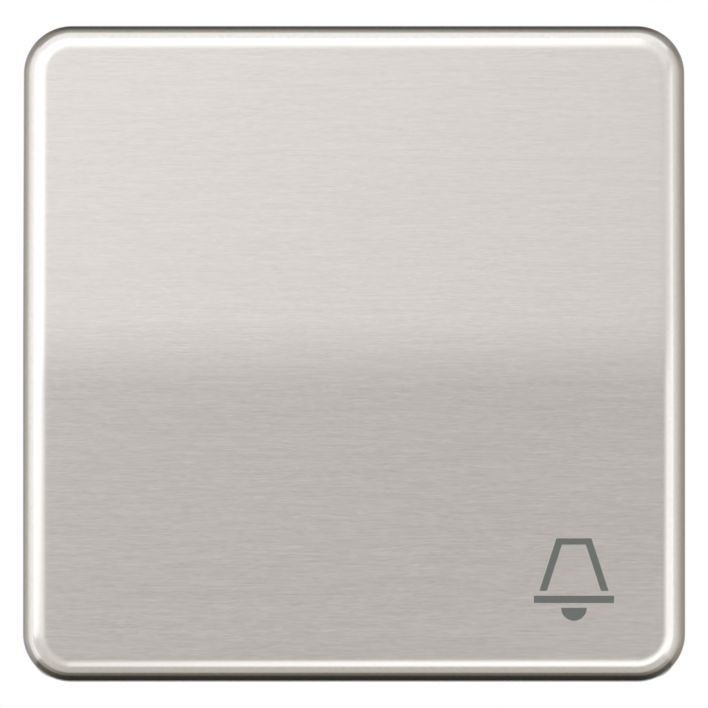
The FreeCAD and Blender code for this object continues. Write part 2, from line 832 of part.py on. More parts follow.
def make_plate():
    """The steel support plate: window for the insert, screw holes and slots.

    The frame's flange lies in a shallow seat, so that only steel meets the wall.
    """
    piece = Piece("support_plate")
    half = size("screw_spacing") / 2
    half_width = half + size("plate_side_margin")
    half_height = half + size("plate_end_margin")
    plate = piece.draw("outline", "XZ_Plane")
    plate.belt(round_corners(half_width, half_height, size("plate_corner_radius")))
    gap = size("window_gap")
    window_cut = size("boss_corner_cut")
    plate.outline(octagon(BOSS_HALF_WIDTH + gap, BOSS_HALF_HEIGHT + gap, window_cut))
    radius = size("screw_hole_radius")
    travel = size("screw_slot_travel") / 2
    for side in SIDES:
        plate.circle(0, side * half, radius)
        plate.belt([(side * half, -travel, radius), (side * half, travel, radius)])
    stud_hole = size("stud_radius") + size("stud_gap")
    for across in SIDES:
        for up in SIDES:
            plate.circle(across * STUD_X, up * STUD_Z, stud_hole)
    piece.pad("sheet", plate, size("plate_sheet"))
    seat = piece.draw("flange_seat", "XZ_Plane", size("flange_seat"))
    seat.outline(octagon(LATCH_OUTER + gap, FLANGE_END + gap, size("flange_corner_cut")))
    piece.pocket("flange_seat_cut", seat, size("flange_seat"))
    return piece.body


def make_frame():
    """The bearing frame: a boss through the plate's window and a flange behind it.

    Four studs pass through the plate and are staked over on its front.
    """
    piece = Piece("bearing_frame")
    boss = piece.draw("boss", "XZ_Plane", HOUSING_FRONT)
    boss.outline(octagon(BOSS_HALF_WIDTH, BOSS_HALF_HEIGHT, size("boss_corner_cut")))
    piece.pad("boss_pad", boss, BOSS_LEVEL - HOUSING_FRONT)
    flange = piece.draw("flange", "XZ_Plane", HOUSING_FRONT)
    flange.outline(octagon(LATCH_OUTER, FLANGE_END, size("flange_corner_cut")))
    piece.pad("flange_pad", flange, size("flange_thickness") + size("flange_seat"))

    pivot = PIVOT_LEVEL
    foot = size("foot_radius")
    bore = size("stub_radius") + size("bearing_gap")
    spread = size("ear_foot_half") - foot
    foot_level = BOSS_LEVEL - foot
    for side in SIDES:
        name = "left" if side < 0 else "right"
        start = EAR_INNER if side > 0 else -EAR_OUTER
        ear = piece.draw(f"ear_{name}", "YZ_Plane", start)
        ear.belt(
            [
                (-pivot, 0, bore + size("ear_wall")),
                (-foot_level, spread, foot),
                (-foot_level, -spread, foot),
            ]
        )
        ear.circle(-pivot, 0, bore)
        piece.pad(f"ear_pad_{name}", ear, size("ear_thickness"))

    arm = size("press_arm")
    guide = size("plunger_radius") + size("guide_gap")
    tube = piece.draw("tube", "XZ_Plane", GUIDE_END)
    tube.circle(0, -arm, guide + size("guide_tube_wall"))
    piece.pad("tube_pad", tube, size("guide_tube_length") + foot)
    cup_rear = SPRING_FLOOR - size("spring_cup_wall")
    cup = piece.draw("cup", "XZ_Plane", cup_rear)
    cup.circle(0, -SPRING_ARM, CUP_OUTER_RADIUS)
    piece.pad("cup_pad", cup, HOUSING_FRONT + foot - cup_rear)
    bores = piece.draw("guide", "XZ_Plane", BOSS_LEVEL)
    bores.circle(0, -arm, guide)
    piece.pocket("guide_bore", bores, BOSS_LEVEL - GUIDE_END)
    bores = piece.draw("cup_mouth", "XZ_Plane", BOSS_LEVEL)
    bores.circle(0, -SPRING_ARM, size("spring_cup_radius"))
    piece.pocket("cup_bore", bores, BOSS_LEVEL - SPRING_FLOOR)

    wide = size("stop_half_width")
    far = CRADLE_END - size("stop_setback")
    near = far - size("stop_thickness")
    upper = piece.draw("upper_stop", "XZ_Plane", BOSS_LEVEL - foot)
    upper.outline(rectangle(-wide, wide, near, far))
    piece.pad("upper_stop_pad", upper, HOOK_LEVEL - BOSS_LEVEL + foot)
    angle = size("press_angle")
    sunk = (CRADLE_UNDERSIDE - pivot - far * sine(angle)) / cosine(angle)
    lower = piece.draw("lower_stop", "XZ_Plane", BOSS_LEVEL - foot)
    lower.outline(rectangle(-wide, wide, -far, -near))
    rise = pivot + sunk - size("stop_gap") - BOSS_LEVEL
    piece.pad("lower_stop_pad", lower, rise + foot)

    front = size("plate_sheet")
    parts = (
        ("studs", size("stud_radius"), -foot, front),
        ("stud_heads", size("stud_head_radius"), front, front + size("stud_head_height")),
    )
    for name, radius, low, high in parts:
        drawing = piece.draw(name, "XZ_Plane", low)
        for across in SIDES:
            for up in SIDES:
                drawing.circle(across * STUD_X, up * STUD_Z, radius)
        piece.pad(f"{name}_pad", drawing, high - low)

    half_height = size("latch_half_height")
    arms = piece.draw("latches", "XZ_Plane", HOUSING_FRONT - size("latch_length"))
    for side in SIDES:
        outer = side * LATCH_OUTER
        inner = side * (LATCH_OUTER - size("latch_wall"))
        arms.outline(rectangle(inner, outer, -half_height, half_height))
    piece.pad("latch_arms", arms, size("latch_length") + foot)
    start = size("flange_thickness") + size("latch_nose_setback") - size("latch_gap")
    end = start + size("latch_nose_length") + 2 * size("latch_gap")
    half_window = size("latch_nose_half_height") + size("latch_gap")
    windows = piece.draw("latch_windows", "YZ_Plane")
    windows.outline(rectangle(start, end, -half_window, half_window))
    piece.pocket("latch_cut", windows, 2 * LATCH_OUTER, symmetric=True)
    return piece.body


def make_housing():
    """The switch housing: a tub with a spine that carries busbars and contact spring."""
    piece = Piece("switch_housing")
    cut = size("housing_corner_cut")
    wall = size("housing_wall")
    outer = piece.draw("outer", "XZ_Plane", HOUSING_REAR)
    outer.outline(octagon(HOUSING_HALF_WIDTH, HOUSING_HALF_HEIGHT, cut))
    piece.pad("block", outer, size("housing_depth"))
    inner = piece.draw("inner", "XZ_Plane", HOUSING_FRONT)
    inner_cut = cut - wall * (2 - math.sqrt(2))
    inner.outline(octagon(HOUSING_HALF_WIDTH - wall, HOUSING_HALF_HEIGHT - wall, inner_cut))
    piece.pocket("tub", inner, size("housing_depth") - wall)

    arm = size("press_arm")
    spine_half = size("spine_thickness") / 2
    spine = piece.draw("spine", "XZ_Plane", HOUSING_FLOOR)
    wide = SPINE_HALF_WIDTH
    spine.outline(rectangle(-wide, wide, -(arm + spine_half), spine_half - arm))
    piece.pad("spine_pad", spine, BUSBAR_REAR - HOUSING_FLOOR)
    cup = piece.draw("contact_cup", "XZ_Plane", BUSBAR_REAR)
    cup.circle(0, -arm, size("contact_cup_radius"))
    piece.pocket("contact_cup_cut", cup, BUSBAR_REAR - CONTACT_SPRING_FLOOR)

    gap = size("chamber_gap")
    high = size("busbar_height") / 2 + gap
    chambers = piece.draw("chambers", "XZ_Plane", HOUSING_FLOOR)
    for side in SIDES:
        near = side * (wide + gap)
        far = side * (size("busbar_outer_face") + gap)
        chambers.outline(rectangle(near, far, -(arm + high), high - arm))
    piece.pocket("chamber_cut", chambers, wall)

    face = HOUSING_HALF_WIDTH
    root = face - wall / 2
    tip = LATCH_OUTER - size("latch_nose_recess")
    start = size("flange_thickness") + size("latch_nose_setback")
    end = start + size("latch_nose_length")
    noses = piece.draw("latch_noses", "XY_Plane")
    for side in SIDES:
        noses.outline(
            [
                (side * root, start),
                (side * face, start),
                (side * tip, (start + end) / 2),
                (side * tip, end),
                (side * root, end),
            ]
        )
    piece.pad("latch_nose_pad", noses, 2 * size("latch_nose_half_height"), symmetric=True)
    return piece.body


def make_cover():
    """The cover over the terminals, with wire entries and windows for the levers."""
    piece = Piece("terminal_cover")
    half_width = WIRE_X + size("cover_side_margin")
    half_height = size("cover_height") / 2
    plate = piece.draw("outline", "XZ_Plane", COVER_REAR)
    plate.belt(round_corners(half_width, half_height, size("cover_corner_radius")))
    half = size("lever_width") / 2 + size("lever_gap")
    drop = size("lever_drop")
    for side in SIDES:
        middle = side * WIRE_X
        plate.circle(middle, size("wire_rise"), size("wire_entry_radius"))
        plate.outline(rectangle(middle - half, middle + half, -(drop + half), half - drop))
    piece.pad("plate", plate, size("cover_thickness"))
    move(piece.body, z=-size("press_arm"))
    return piece.body


def make_plunger():
    """The turned plunger: stem with a bevelled tip, shoulder behind the guide and a pin."""
    piece = Piece("plunger")
    stem = size("plunger_radius")
    bevel = size("plunger_bevel")
    shoulder = size("plunger_shoulder_radius")
    pin = size("plunger_pin_radius")
    pin_end = BRIDGE_FRONT - size("plunger_pin")
    half = piece.draw("half_section", "YZ_Plane")
    half.outline(
        [
            (-PLUNGER_TIP, 0),
            (-pin_end, 0),
            (-pin_end, pin),
            (-BRIDGE_FRONT, pin),
            (-BRIDGE_FRONT, shoulder),
            (-SHOULDER_FRONT, shoulder),
            (-SHOULDER_FRONT, stem),
            (bevel - PLUNGER_TIP, stem),
            (-PLUNGER_TIP, stem - bevel),
        ]
    )
    axis = (half.sketch, ["H_Axis"])
    settings = {"Profile": (half.sketch, [""]), "ReferenceAxis": axis, "Angle": 360.0}
    piece.feature("Revolution", "turned", settings, {})
    move(piece.body, z=-size("press_arm"))
    return piece.body


def make_bridge():
    """The contact bridge, a strip that hangs on the plunger's pin."""
    piece = Piece("contact_bridge")
    half_length = size("bridge_length") / 2
    half_height = size("bridge_height") / 2
    strip = piece.draw("strip", "XZ_Plane", BRIDGE_REAR)
    strip.belt(round_corners(half_length, half_height, size("bridge_corner_radius")))
    strip.circle(0, 0, size("plunger_pin_radius") + size("guide_gap"))
    piece.pad("strip_pad", strip, size("bridge_sheet"))
    move(piece.body, z=-size("press_arm"))
    return piece.body


def make_bridge_contacts():
    """Two contact rivets on the rear of the bridge."""
    piece = Piece("bridge_contacts")
    discs = piece.draw("discs", "XZ_Plane", MOVING_CONTACT_REAR)
    for side in SIDES:
        discs.circle(side * CONTACT_X, 0, size("contact_radius"))
    piece.pad("discs_pad", discs, size("contact_height"))
    move(piece.body, z=-size("press_arm"))
    return piece.body


def make_fixed_contact(side, name):
    """One contact rivet on the front of a busbar."""
    piece = Piece(f"fixed_contact_{name}")
    disc = piece.draw("disc", "XZ_Plane", BUSBAR_FRONT)
    disc.circle(0, 0, size("contact_radius"))
    piece.pad("disc_pad", disc, size("contact_height"))
    move(piece.body, x=side * CONTACT_X, z=-size("press_arm"))
    return piece.body


def make_busbar(side, name):
    """One brass strip, bent once: contact leg on the spine, clamp leg along the wire."""
    piece = Piece(f"busbar_{name}")
    outer = size("busbar_outer_face")
    strip = piece.draw("strip", "XY_Plane")
    inner = CONTACT_X - size("busbar_lap")
    strip.outline(
        [
            (side * inner, -BUSBAR_FRONT),
            (side * outer, -BUSBAR_FRONT),
            (side * outer, BUSBAR_DEPTH),
            (side * BUSBAR_INNER_FACE, BUSBAR_DEPTH),
            (side * BUSBAR_INNER_FACE, -BUSBAR_REAR),
            (side * inner, -BUSBAR_REAR),
        ]
    )
    piece.pad("strip_pad", strip, size("busbar_height"), symmetric=True)
    bend = size("busbar_bend_radius")

    def outer_corner(edge):
        box = edge.BoundBox
        at_corner = abs(abs(box.XMin) - outer.value) < 1e-6
        return is_along(edge, "Z") and at_corner and abs(box.YMin + BUSBAR_FRONT.value) < 1e-6

    def inner_corner(edge):
        box = edge.BoundBox
        at_corner = abs(abs(box.XMin) - BUSBAR_INNER_FACE.value) < 1e-6
        return is_along(edge, "Z") and at_corner and abs(box.YMin + BUSBAR_REAR.value) < 1e-6

    piece.fillet("bend_outside", bend, outer_corner)
    piece.fillet("bend_inside", bend - size("busbar_sheet"), inner_corner)
    move(piece.body, z=-size("press_arm"))
    return piece.body


def make_clamp_spring(side, name):
    """One hairpin strip whose tongue presses a wire against the busbar."""
    piece = Piece(f"clamp_spring_{name}")
    half_sheet = size("clamp_sheet") / 2
    back = SPINE_HALF_WIDTH + size("clamp_side_gap") + half_sheet
    bend = size("clamp_bend_radius")
    tip = BUSBAR_INNER_FACE - size("clamp_tip_gap") - half_sheet
    start_depth = -(HOUSING_REAR + size("clamp_leg_setback"))
    path = piece.draw("path", "XY_Plane")
    path.hairpin(
        (side * back, start_depth),
        (side * (back + bend), size("clamp_bend_depth")),
        bend,
        (side * tip, -(HOUSING_REAR + size("clamp_tip_setback"))),
    )
    half_height = size("clamp_height") / 2
    section = piece.draw("section", "XZ_Plane", -start_depth)
    middle = side * back
    section.outline(
        rectangle(middle - half_sheet, middle + half_sheet, -half_height, half_height)
    )
    edges = [f"Edge{index}" for index in (1, 2, 3)]
    settings = {"Profile": (section.sketch, [""]), "Spine": (path.sketch, edges)}
    piece.feature("AdditivePipe", "strip", settings, {})
    move(piece.body, z=-size("press_arm"))
    return piece.body


def make_lever(side, name):
    """One release lever: a square plunger with a shoulder inside the cover."""
    piece = Piece(f"release_lever_{name}")
    half = size("lever_width") / 2
    rear = COVER_REAR - size("lever_proud")
    shank = piece.draw("shank", "XZ_Plane", rear)
    shank.outline(rectangle(-half, half, -half, half))
    piece.pad("shank_pad", shank, HOUSING_REAR + size("lever_tip_setback") - rear)
    wide = half + size("lever_shoulder")
    front = HOUSING_REAR + size("stop_gap") + size("lever_shoulder_length")
    shoulder = piece.draw("shoulder", "XZ_Plane", HOUSING_REAR + size("stop_gap"))
    shoulder.outline(rectangle(-wide, wide, -wide, wide))
    piece.pad("shoulder_pad", shoulder, front - HOUSING_REAR - size("stop_gap"))
    drop = size("press_arm") + size("lever_drop")
    move(piece.body, x=side * WIRE_X, z=-drop)
    return piece.body


def make_coil(label, coil_radius, wire_radius, turns, floor_level, length, drop):
    """A compression spring of six-sided wire that stands on a floor and points forward."""
    clear = size("coil_end_gap") + wire_radius
    rise = length - 2 * clear
    helix = document.addObject("Part::Helix", f"{label}_axis")
    profile = document.addObject("Part::RegularPolygon", f"{label}_wire")
    profile.Polygon = 6
    for item, prop, value in (
        (helix, "Pitch", rise / turns),
        (helix, "Height", rise),
        (helix, "Radius", coil_radius),
        (profile, "Circumradius", wire_radius),
    ):
        setattr(item, prop, value.value)
        bind(item, prop, value)
    move(profile, x=coil_radius, rotation=Rotation(Vector(1, 0, 0), 90))
    coil = document.addObject("Part::Sweep", label)
    coil.Label = label
    coil.Sections = [profile]
    coil.Spine = (helix, ["Edge1"])
    coil.Solid = True
    coil.Frenet = True
    move(coil, y=-floor_level - clear, z=-drop, rotation=Rotation(Vector(1, 0, 0), 90))
    return coil


def make_return_spring():
    """The coil between the frame's cup and the cradle's underside."""
    return make_coil(
        "return_spring",
        size("return_coil_radius"),
        size("return_wire_radius"),
        size("return_coil_turns"),
        SPRING_FLOOR,
        CRADLE_UNDERSIDE - SPRING_FLOOR,
        SPRING_ARM,
    )


def make_contact_spring():
    """The coil between the spine's cup and the contact bridge."""
    return make_coil(
        "contact_spring",
        size("contact_coil_radius"),
        size("contact_wire_radius"),
        size("contact_coil_turns"),
        CONTACT_SPRING_FLOOR,
        size("contact_spring_length"),
        size("press_arm"),
    )


def build_all():
    """Make every piece and return them in order from the front to the rear."""
    pieces = [
        make_cap(),
        make_symbol(),
        make_carrier(),
        make_cradle(),
        make_plate(),
        make_frame(),
        make_return_spring(),
        make_plunger(),
        make_bridge(),
        make_bridge_contacts(),
        make_contact_spring(),
        make_housing(),
        make_cover(),
    ]
    for side, name in ((-1, "left"), (1, "right")):
        pieces.append(make_fixed_contact(side, name))
        pieces.append(make_busbar(side, name))
        pieces.append(make_clamp_spring(side, name))
        pieces.append(make_lever(side, name))
    document.recompute()
    return pieces


def check(pieces):
    """Stop if any object of the document failed or any piece has a bad shape."""
    for item in document.Objects:
        if "Invalid" in item.State or "Error" in item.State:
            raise RuntimeError(f"{item.Name} failed: {item.State}")
    for piece in pieces:
        if piece.Shape.isNull() or not piece.Shape.isValid():
            raise RuntimeError(f"{piece.Label} has no valid shape")


all_pieces = build_all()
check(all_pieces)
for made in all_pieces:
    made.Shape.exportStep(os.path.join(NODES_FOLDER, f"{made.Label}.step"))
    box = made.Shape.BoundBox
    print(
        f"{made.Label}: {len(made.Shape.Solids)} solids, {made.Shape.Volume:.1f} mm3, "
        f"x {box.XMin:.2f}..{box.XMax:.2f}, y {box.YMin:.2f}..{box.YMax:.2f}, "
        f"z {box.ZMin:.2f}..{box.ZMax:.2f}"
    )
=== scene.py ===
"""Looks of a flush push button with a bell symbol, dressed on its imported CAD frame.

Everything is in metres in the frame's own axes: X points right, Z up and Y into the wall.
The origin is the middle of the support plate's rear face. A level is a distance ahead of
that face, so a point at level v has the coordinate y = -v.
"""

import logging
import math
from dataclasses import dataclass, field
from enum import Enum

import bmesh
import bpy
import numpy as np
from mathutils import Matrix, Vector


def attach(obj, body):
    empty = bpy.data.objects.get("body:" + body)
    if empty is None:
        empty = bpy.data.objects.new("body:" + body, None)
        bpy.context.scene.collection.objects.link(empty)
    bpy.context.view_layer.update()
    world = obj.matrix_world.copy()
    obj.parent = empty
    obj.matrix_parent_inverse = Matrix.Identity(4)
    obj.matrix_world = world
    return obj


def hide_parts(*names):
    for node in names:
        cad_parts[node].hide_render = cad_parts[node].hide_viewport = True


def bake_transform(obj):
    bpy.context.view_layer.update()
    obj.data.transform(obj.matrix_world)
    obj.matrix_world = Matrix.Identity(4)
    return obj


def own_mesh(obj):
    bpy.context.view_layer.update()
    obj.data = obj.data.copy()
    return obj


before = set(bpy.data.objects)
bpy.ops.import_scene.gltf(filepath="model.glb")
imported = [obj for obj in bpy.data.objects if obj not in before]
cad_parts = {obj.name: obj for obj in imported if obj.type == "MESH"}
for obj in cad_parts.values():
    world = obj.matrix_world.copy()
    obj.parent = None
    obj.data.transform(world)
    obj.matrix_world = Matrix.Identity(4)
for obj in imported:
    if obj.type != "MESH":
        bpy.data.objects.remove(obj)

LOG = logging.getLogger("push_button")
MM = 0.001
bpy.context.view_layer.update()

# Points nearer together than this are one point, and shorter edges are dropped.
WELD, SLIVER = 1e-7, 1e-8
# The middle of a noise pattern, where nearly all of its values lie.
NOISE_LOW, NOISE_HIGH = 0.3, 0.7
# The angles in degrees from which an edge of a new mesh or of a moulding stays crisp.
CREASE, MOULDING_CREASE = 40.0, 35.0
# Faces of a moulding that meet at a smaller angle in degrees are one face.
FLAT = 0.5


class Socket(Enum):
    """Sockets of the surface shader that the finishes set."""

    COLOUR = "Base Color"
    METAL = "Metallic"
    ROUGH = "Roughness"
    IOR = "IOR"
    ANISOTROPY = "Anisotropic"
    NORMAL = "Normal"
    TANGENT = "Tangent"


class Body(Enum):
    """Bodies of the frame that the pieces ride on."""

    INSERT = "insert"
    BUTTON = "button"
    PLUNGER = "plunger"
    RELEASE_LEFT = "release_left"
    RELEASE_RIGHT = "release_right"


# Colours and nodes


def srgb(code: str) -> tuple[float, float, float, float]:
    """Turn an sRGB hex colour into the linear colour that a shader takes.

    Args:
        code: Six hex digits with a leading hash.

    Returns:
        Linear red, green and blue, and an alpha of one.
    """
    channels = np.array([int(code[k : k + 2], 16) for k in (1, 3, 5)]) / 255
    low = channels / 12.92
    high = ((channels + 0.055) / 1.055) ** 2.4
    linear = np.where(channels <= 0.04045, low, high)
    return (*(float(value) for value in linear), 1.0)


def add_node(
    tree: bpy.types.NodeTree, kind: str, settings: dict | None = None, links: dict | None = None
) -> bpy.types.Node:
    """Add one node, set its properties and inputs, and link it.

    Args:
        tree: The node tree that takes the node.
        kind: The node's Blender type.
        settings: Property names with values; a value for an input socket has the key "in:name".
        links: Input names or numbers with the output sockets that feed them.

    Returns:
        The new node.
    """
    made = tree.nodes.new(kind)
    for key, value in (settings or {}).items():
        if key.startswith("in:"):
            name = key[3:]
            made.inputs[int(name) if name.isdigit() else name].default_value = value
        else:
            setattr(made, key, value)
    for key, source in (links or {}).items():
        tree.links.new(source, made.inputs[key])
    return made


def blank_material(name: str) -> tuple[bpy.types.Material, bpy.types.NodeTree]:
    """Make a material with an empty node tree.

    Args:
        name: The material's name.

    Returns:
        The material and its node tree.
    """
    material = bpy.data.materials.new(name)
    material.use_nodes = True
    material.node_tree.nodes.clear()
    return material, material.node_tree


def new_material(name: str) -> tuple[bpy.types.Material, bpy.types.NodeTree, bpy.types.Node]:
    """Make a material that has its surface shader and output.

    Args:
        name: The material's name.

    Returns:
        The material, its node tree and its surface shader.
    """
    material, tree = blank_material(name)
    shader = add_node(tree, "ShaderNodeBsdfPrincipled")
    add_node(tree, "ShaderNodeOutputMaterial", links={"Surface": shader.outputs["BSDF"]})
    return material, tree, shader


def pattern(
    tree: bpy.types.NodeTree, cells: tuple[float, float, float], detail: float, rough: float = 0.5
) -> bpy.types.NodeSocket:
    """Make a noise pattern whose cells have a size in metres along each axis.

    Args:
        tree: The node tree that takes the nodes.
        cells: The pattern's cell size along X, Y and Z.
        detail: How many finer layers it has.
        rough: How strong the finer layers are.

    Returns:
        The pattern's value socket, from nought to one around a half.
    """
    place = add_node(tree, "ShaderNodeTexCoord")
    scale = tuple(1 / size for size in cells)
    mapping = add_node(
        tree, "ShaderNodeMapping", {"in:Scale": scale}, {"Vector": place.outputs["Object"]}
    )
    noise = add_node(
        tree,
        "ShaderNodeTexNoise",
        {"in:Scale": 1.0, "in:Detail": detail, "in:Roughness": rough},
        {"Vector": mapping.outputs["Vector"]},
    )
    return noise.outputs["Fac"]


def spread(
    tree: bpy.types.NodeTree, value: bpy.types.NodeSocket, low: float, high: float
) -> bpy.types.NodeSocket:
    """Stretch the middle of a noise pattern over a range of values.

    Args:
        tree: The node tree that takes the node.
        value: The pattern.
        low: The result where the pattern is low.
        high: The result where the pattern is high.

    Returns:
        The stretched value.
    """
    settings = {
        "in:From Min": NOISE_LOW,
        "in:From Max": NOISE_HIGH,
        "in:To Min": low,
        "in:To Max": high,
    }
    return add_node(tree, "ShaderNodeMapRange", settings, {"Value": value}).outputs["Result"]


def shade(
    tree: bpy.types.NodeTree, value: bpy.types.NodeSocket, dark: str, light: str
) -> bpy.types.NodeSocket:
    """Colour a noise pattern between two close shades.

    Args:
        tree: The node tree that takes the node.
        value: The pattern.
        dark: Hex colour where it is low.
        light: Hex colour where it is high.

    Returns:
        The colour socket.
    """
    ramp = add_node(tree, "ShaderNodeValToRGB", links={"Fac": value})
    first, last = ramp.color_ramp.elements
    first.position, last.position = NOISE_LOW, NOISE_HIGH
    first.color, last.color = srgb(dark), srgb(light)
    return ramp.outputs["Color"]


# Finishes


@dataclass(frozen=True)
class Surface:
    """What every finish has: two close shades, and a roughness that strays a little."""

    name: str
    dark: str
    light: str
    roughness: float
    smoother: float = 0.05
    rougher: float = 0.05

    def gloss(self, tree: bpy.types.NodeTree, grain: bpy.types.NodeSocket) -> bpy.types.NodeSocket:
        """Let the roughness follow a pattern."""
        return spread(tree, grain, self.roughness - self.smoother, self.roughness + self.rougher)

    def coat(
        self,
        tree: bpy.types.NodeTree,
        shader: bpy.types.Node,
        tone: bpy.types.NodeSocket,
        grain: bpy.types.NodeSocket,
    ) -> None:
        """Colour a surface by one pattern and make it rough by another.

        Args:
            tree: The material's node tree.
            shader: Its surface shader.
            tone: The pattern of its shades.
            grain: The pattern of its roughness.
        """
        colour = shade(tree, tone, self.dark, self.light)
        tree.links.new(colour, shader.inputs[Socket.COLOUR.value])
        tree.links.new(self.gloss(tree, grain), shader.inputs[Socket.ROUGH.value])

    @staticmethod
    def emboss(
        tree: bpy.types.NodeTree, shader: bpy.types.Node, height: bpy.types.NodeSocket, relief: float
    ) -> None:
        """Give a surface a fine relief.

        Args:
            tree: The material's node tree.
            shader: Its surface shader.
            height: The pattern of the relief.
            relief: How high the pattern stands.
        """
        settings = {"in:Strength": 1.0, "in:Distance": relief}
        bump = add_node(tree, "ShaderNodeBump", settings, {"Height": height})
        tree.links.new(bump.outputs["Normal"], shader.inputs[Socket.NORMAL.value])


@dataclass(frozen=True)
class BrushedSteel(Surface):
    """Stainless steel sheet, belt-brushed from side to side.

    Seen from the front it has level hair lines, short ones over longer strokes and faint
    bands, and a reflection that is drawn out upwards and downwards, so the two halves of
    the roof meet in a soft band. On the rim's shoulder the belt presses less, and the
    brushing fades into the smooth rim.
    """

    name: str = "StainlessSteelBrushed"
    dark: str = "#C8C4C0"
    light: str = "#D8D4D1"
    roughness: float = 0.25
    smoother: float = 0.02
    rougher: float = 0.02
    smooth: str = "#ECE9E6"
    smooth_roughness: float = 0.18
    anisotropy: float = 0.65
    # Real hair lines are about 0.03 mm apart, drawn 0.08 mm apart so that they show.
    line_length: float = 0.75 * MM
    line_pitch: float = 0.08 * MM
    line_share: float = 0.6
    stroke_length: float = 3.5 * MM
    stroke_pitch: float = 0.1 * MM
    stroke_share: float = 0.3
    band_length: float = 30.0 * MM
    band_pitch: float = 0.8 * MM
    band_share: float = 0.1
    # How deep the cells of all three reach into the sheet, so that its curves don't cut them.
    reach: float = 4.0 * MM
    relief: float = 0.00025 * MM

    def make(self) -> bpy.types.Material:
        """Build the material."""
        material, tree, shader = new_material(self.name)
        lines = pattern(tree, (self.line_length, self.reach, self.line_pitch), 3.0, 0.7)
        strokes = pattern(tree, (self.stroke_length, self.reach, self.stroke_pitch), 2.0)
        bands = pattern(tree, (self.band_length, self.reach, self.band_pitch), 2.0)
        settings = {"operation": "MULTIPLY", "in:1": self.band_share}
        brushing = add_node(tree, "ShaderNodeMath", settings, {0: bands}).outputs[0]
        for layer, share in ((strokes, self.stroke_share), (lines, self.line_share)):
            settings = {"operation": "MULTIPLY_ADD", "in:1": share}
            links = {0: layer, 2: brushing}
            brushing = add_node(tree, "ShaderNodeMath", settings, links).outputs[0]
        fade = add_node(tree, "ShaderNodeAttribute", {"attribute_name": "smoothness"})
        smooth = fade.outputs["Fac"]
        settings = {"data_type": "RGBA", "in:7": srgb(self.smooth)}
        links = {0: smooth, 6: shade(tree, brushing, self.dark, self.light)}
        colour = add_node(tree, "ShaderNodeMix", settings, links)
        tree.links.new(colour.outputs[2], shader.inputs[Socket.COLOUR.value])
        settings = {"in:3": self.smooth_roughness}
        links = {0: smooth, 2: self.gloss(tree, brushing)}
        rough = add_node(tree, "ShaderNodeMix", settings, links)
        tree.links.new(rough.outputs[0], shader.inputs[Socket.ROUGH.value])
        settings = {"operation": "SUBTRACT", "in:0": 1.0}
        depth = add_node(tree, "ShaderNodeMath", settings, {1: smooth}).outputs[0]
        settings = {"in:Distance": self.relief, "invert": True}
        bump = add_node(tree, "ShaderNodeBump", settings, {"Height": lines, "Strength": depth})
        tree.links.new(bump.outputs["Normal"], shader.inputs[Socket.NORMAL.value])
        settings = {"direction_type": "UV_MAP", "uv_map": "brush"}
        across = add_node(tree, "ShaderNodeTangent", settings)
        tree.links.new(across.outputs["Tangent"], shader.inputs[Socket.TANGENT.value])
        shader.inputs[Socket.METAL.value].default_value = 1.0
        shader.inputs[Socket.ANISOTROPY.value].default_value = self.anisotropy
        return material


@dataclass(frozen=True)
class PolishedSteel(Surface):
    """The same sheet where the press has drawn and smoothed it: rim, walls and inside.

    It mirrors the lamps as clean bright bands with a dark edge beside them.
    """

    name: str = "StainlessSteelPressed"
    dark: str = "#E9E6E3"
    light: str = "#EFECEA"
    roughness: float = 0.17
    smoother: float = 0.02
    rougher: float = 0.03
    grain: float = 0.35 * MM

    def make(self) -> bpy.types.Material:
        """Build the material."""
        material, tree, shader = new_material(self.name)
        grain = pattern(tree, (self.grain, self.grain, self.grain), 3.0)
        self.coat(tree, shader, grain, grain)
        shader.inputs[Socket.METAL.value].default_value = 1.0
        return material


@dataclass(frozen=True)
class PrintInk(Surface):
    """Two-part screen ink: matt, dense and very slightly uneven where the mesh left it."""

    name: str = "ScreenPrintInk"
    dark: str = "#5E6460"
    light: str = "#646A66"
    roughness: float = 0.55
    ior: float = 1.5
    mesh: float = 0.2 * MM

    def make(self) -> bpy.types.Material:
        """Build the material."""
        material, tree, shader = new_material(self.name)
        dots = pattern(tree, (self.mesh, self.mesh, self.mesh), 2.0)
        self.coat(tree, shader, dots, dots)
        shader.inputs[Socket.IOR.value].default_value = self.ior
        return material


@dataclass(frozen=True)
class MouldedPlastic(Surface):
    """Injection-moulded plastic from a spark-eroded mould.

    The eye sees a fine, even pebble that softens highlights, and faint clouds of tone.
    """

    rougher: float = 0.07
    ior: float = 1.53
    clouds: float = 9.0 * MM
    # The mould's texture is about 0.05 mm wide, drawn 0.18 mm wide so that it shows.
    grain: float = 0.18 * MM
    relief: float = 0.004 * MM

    def make(self) -> bpy.types.Material:
        """Build the material."""
        material, tree, shader = new_material(self.name)
        clouds = pattern(tree, (self.clouds, self.clouds, self.clouds), 3.0)
        pebble = pattern(tree, (self.grain, self.grain, self.grain), 2.0)
        self.coat(tree, shader, clouds, pebble)
        self.emboss(tree, shader, pebble, self.relief)
        shader.inputs[Socket.IOR.value].default_value = self.ior
        return material


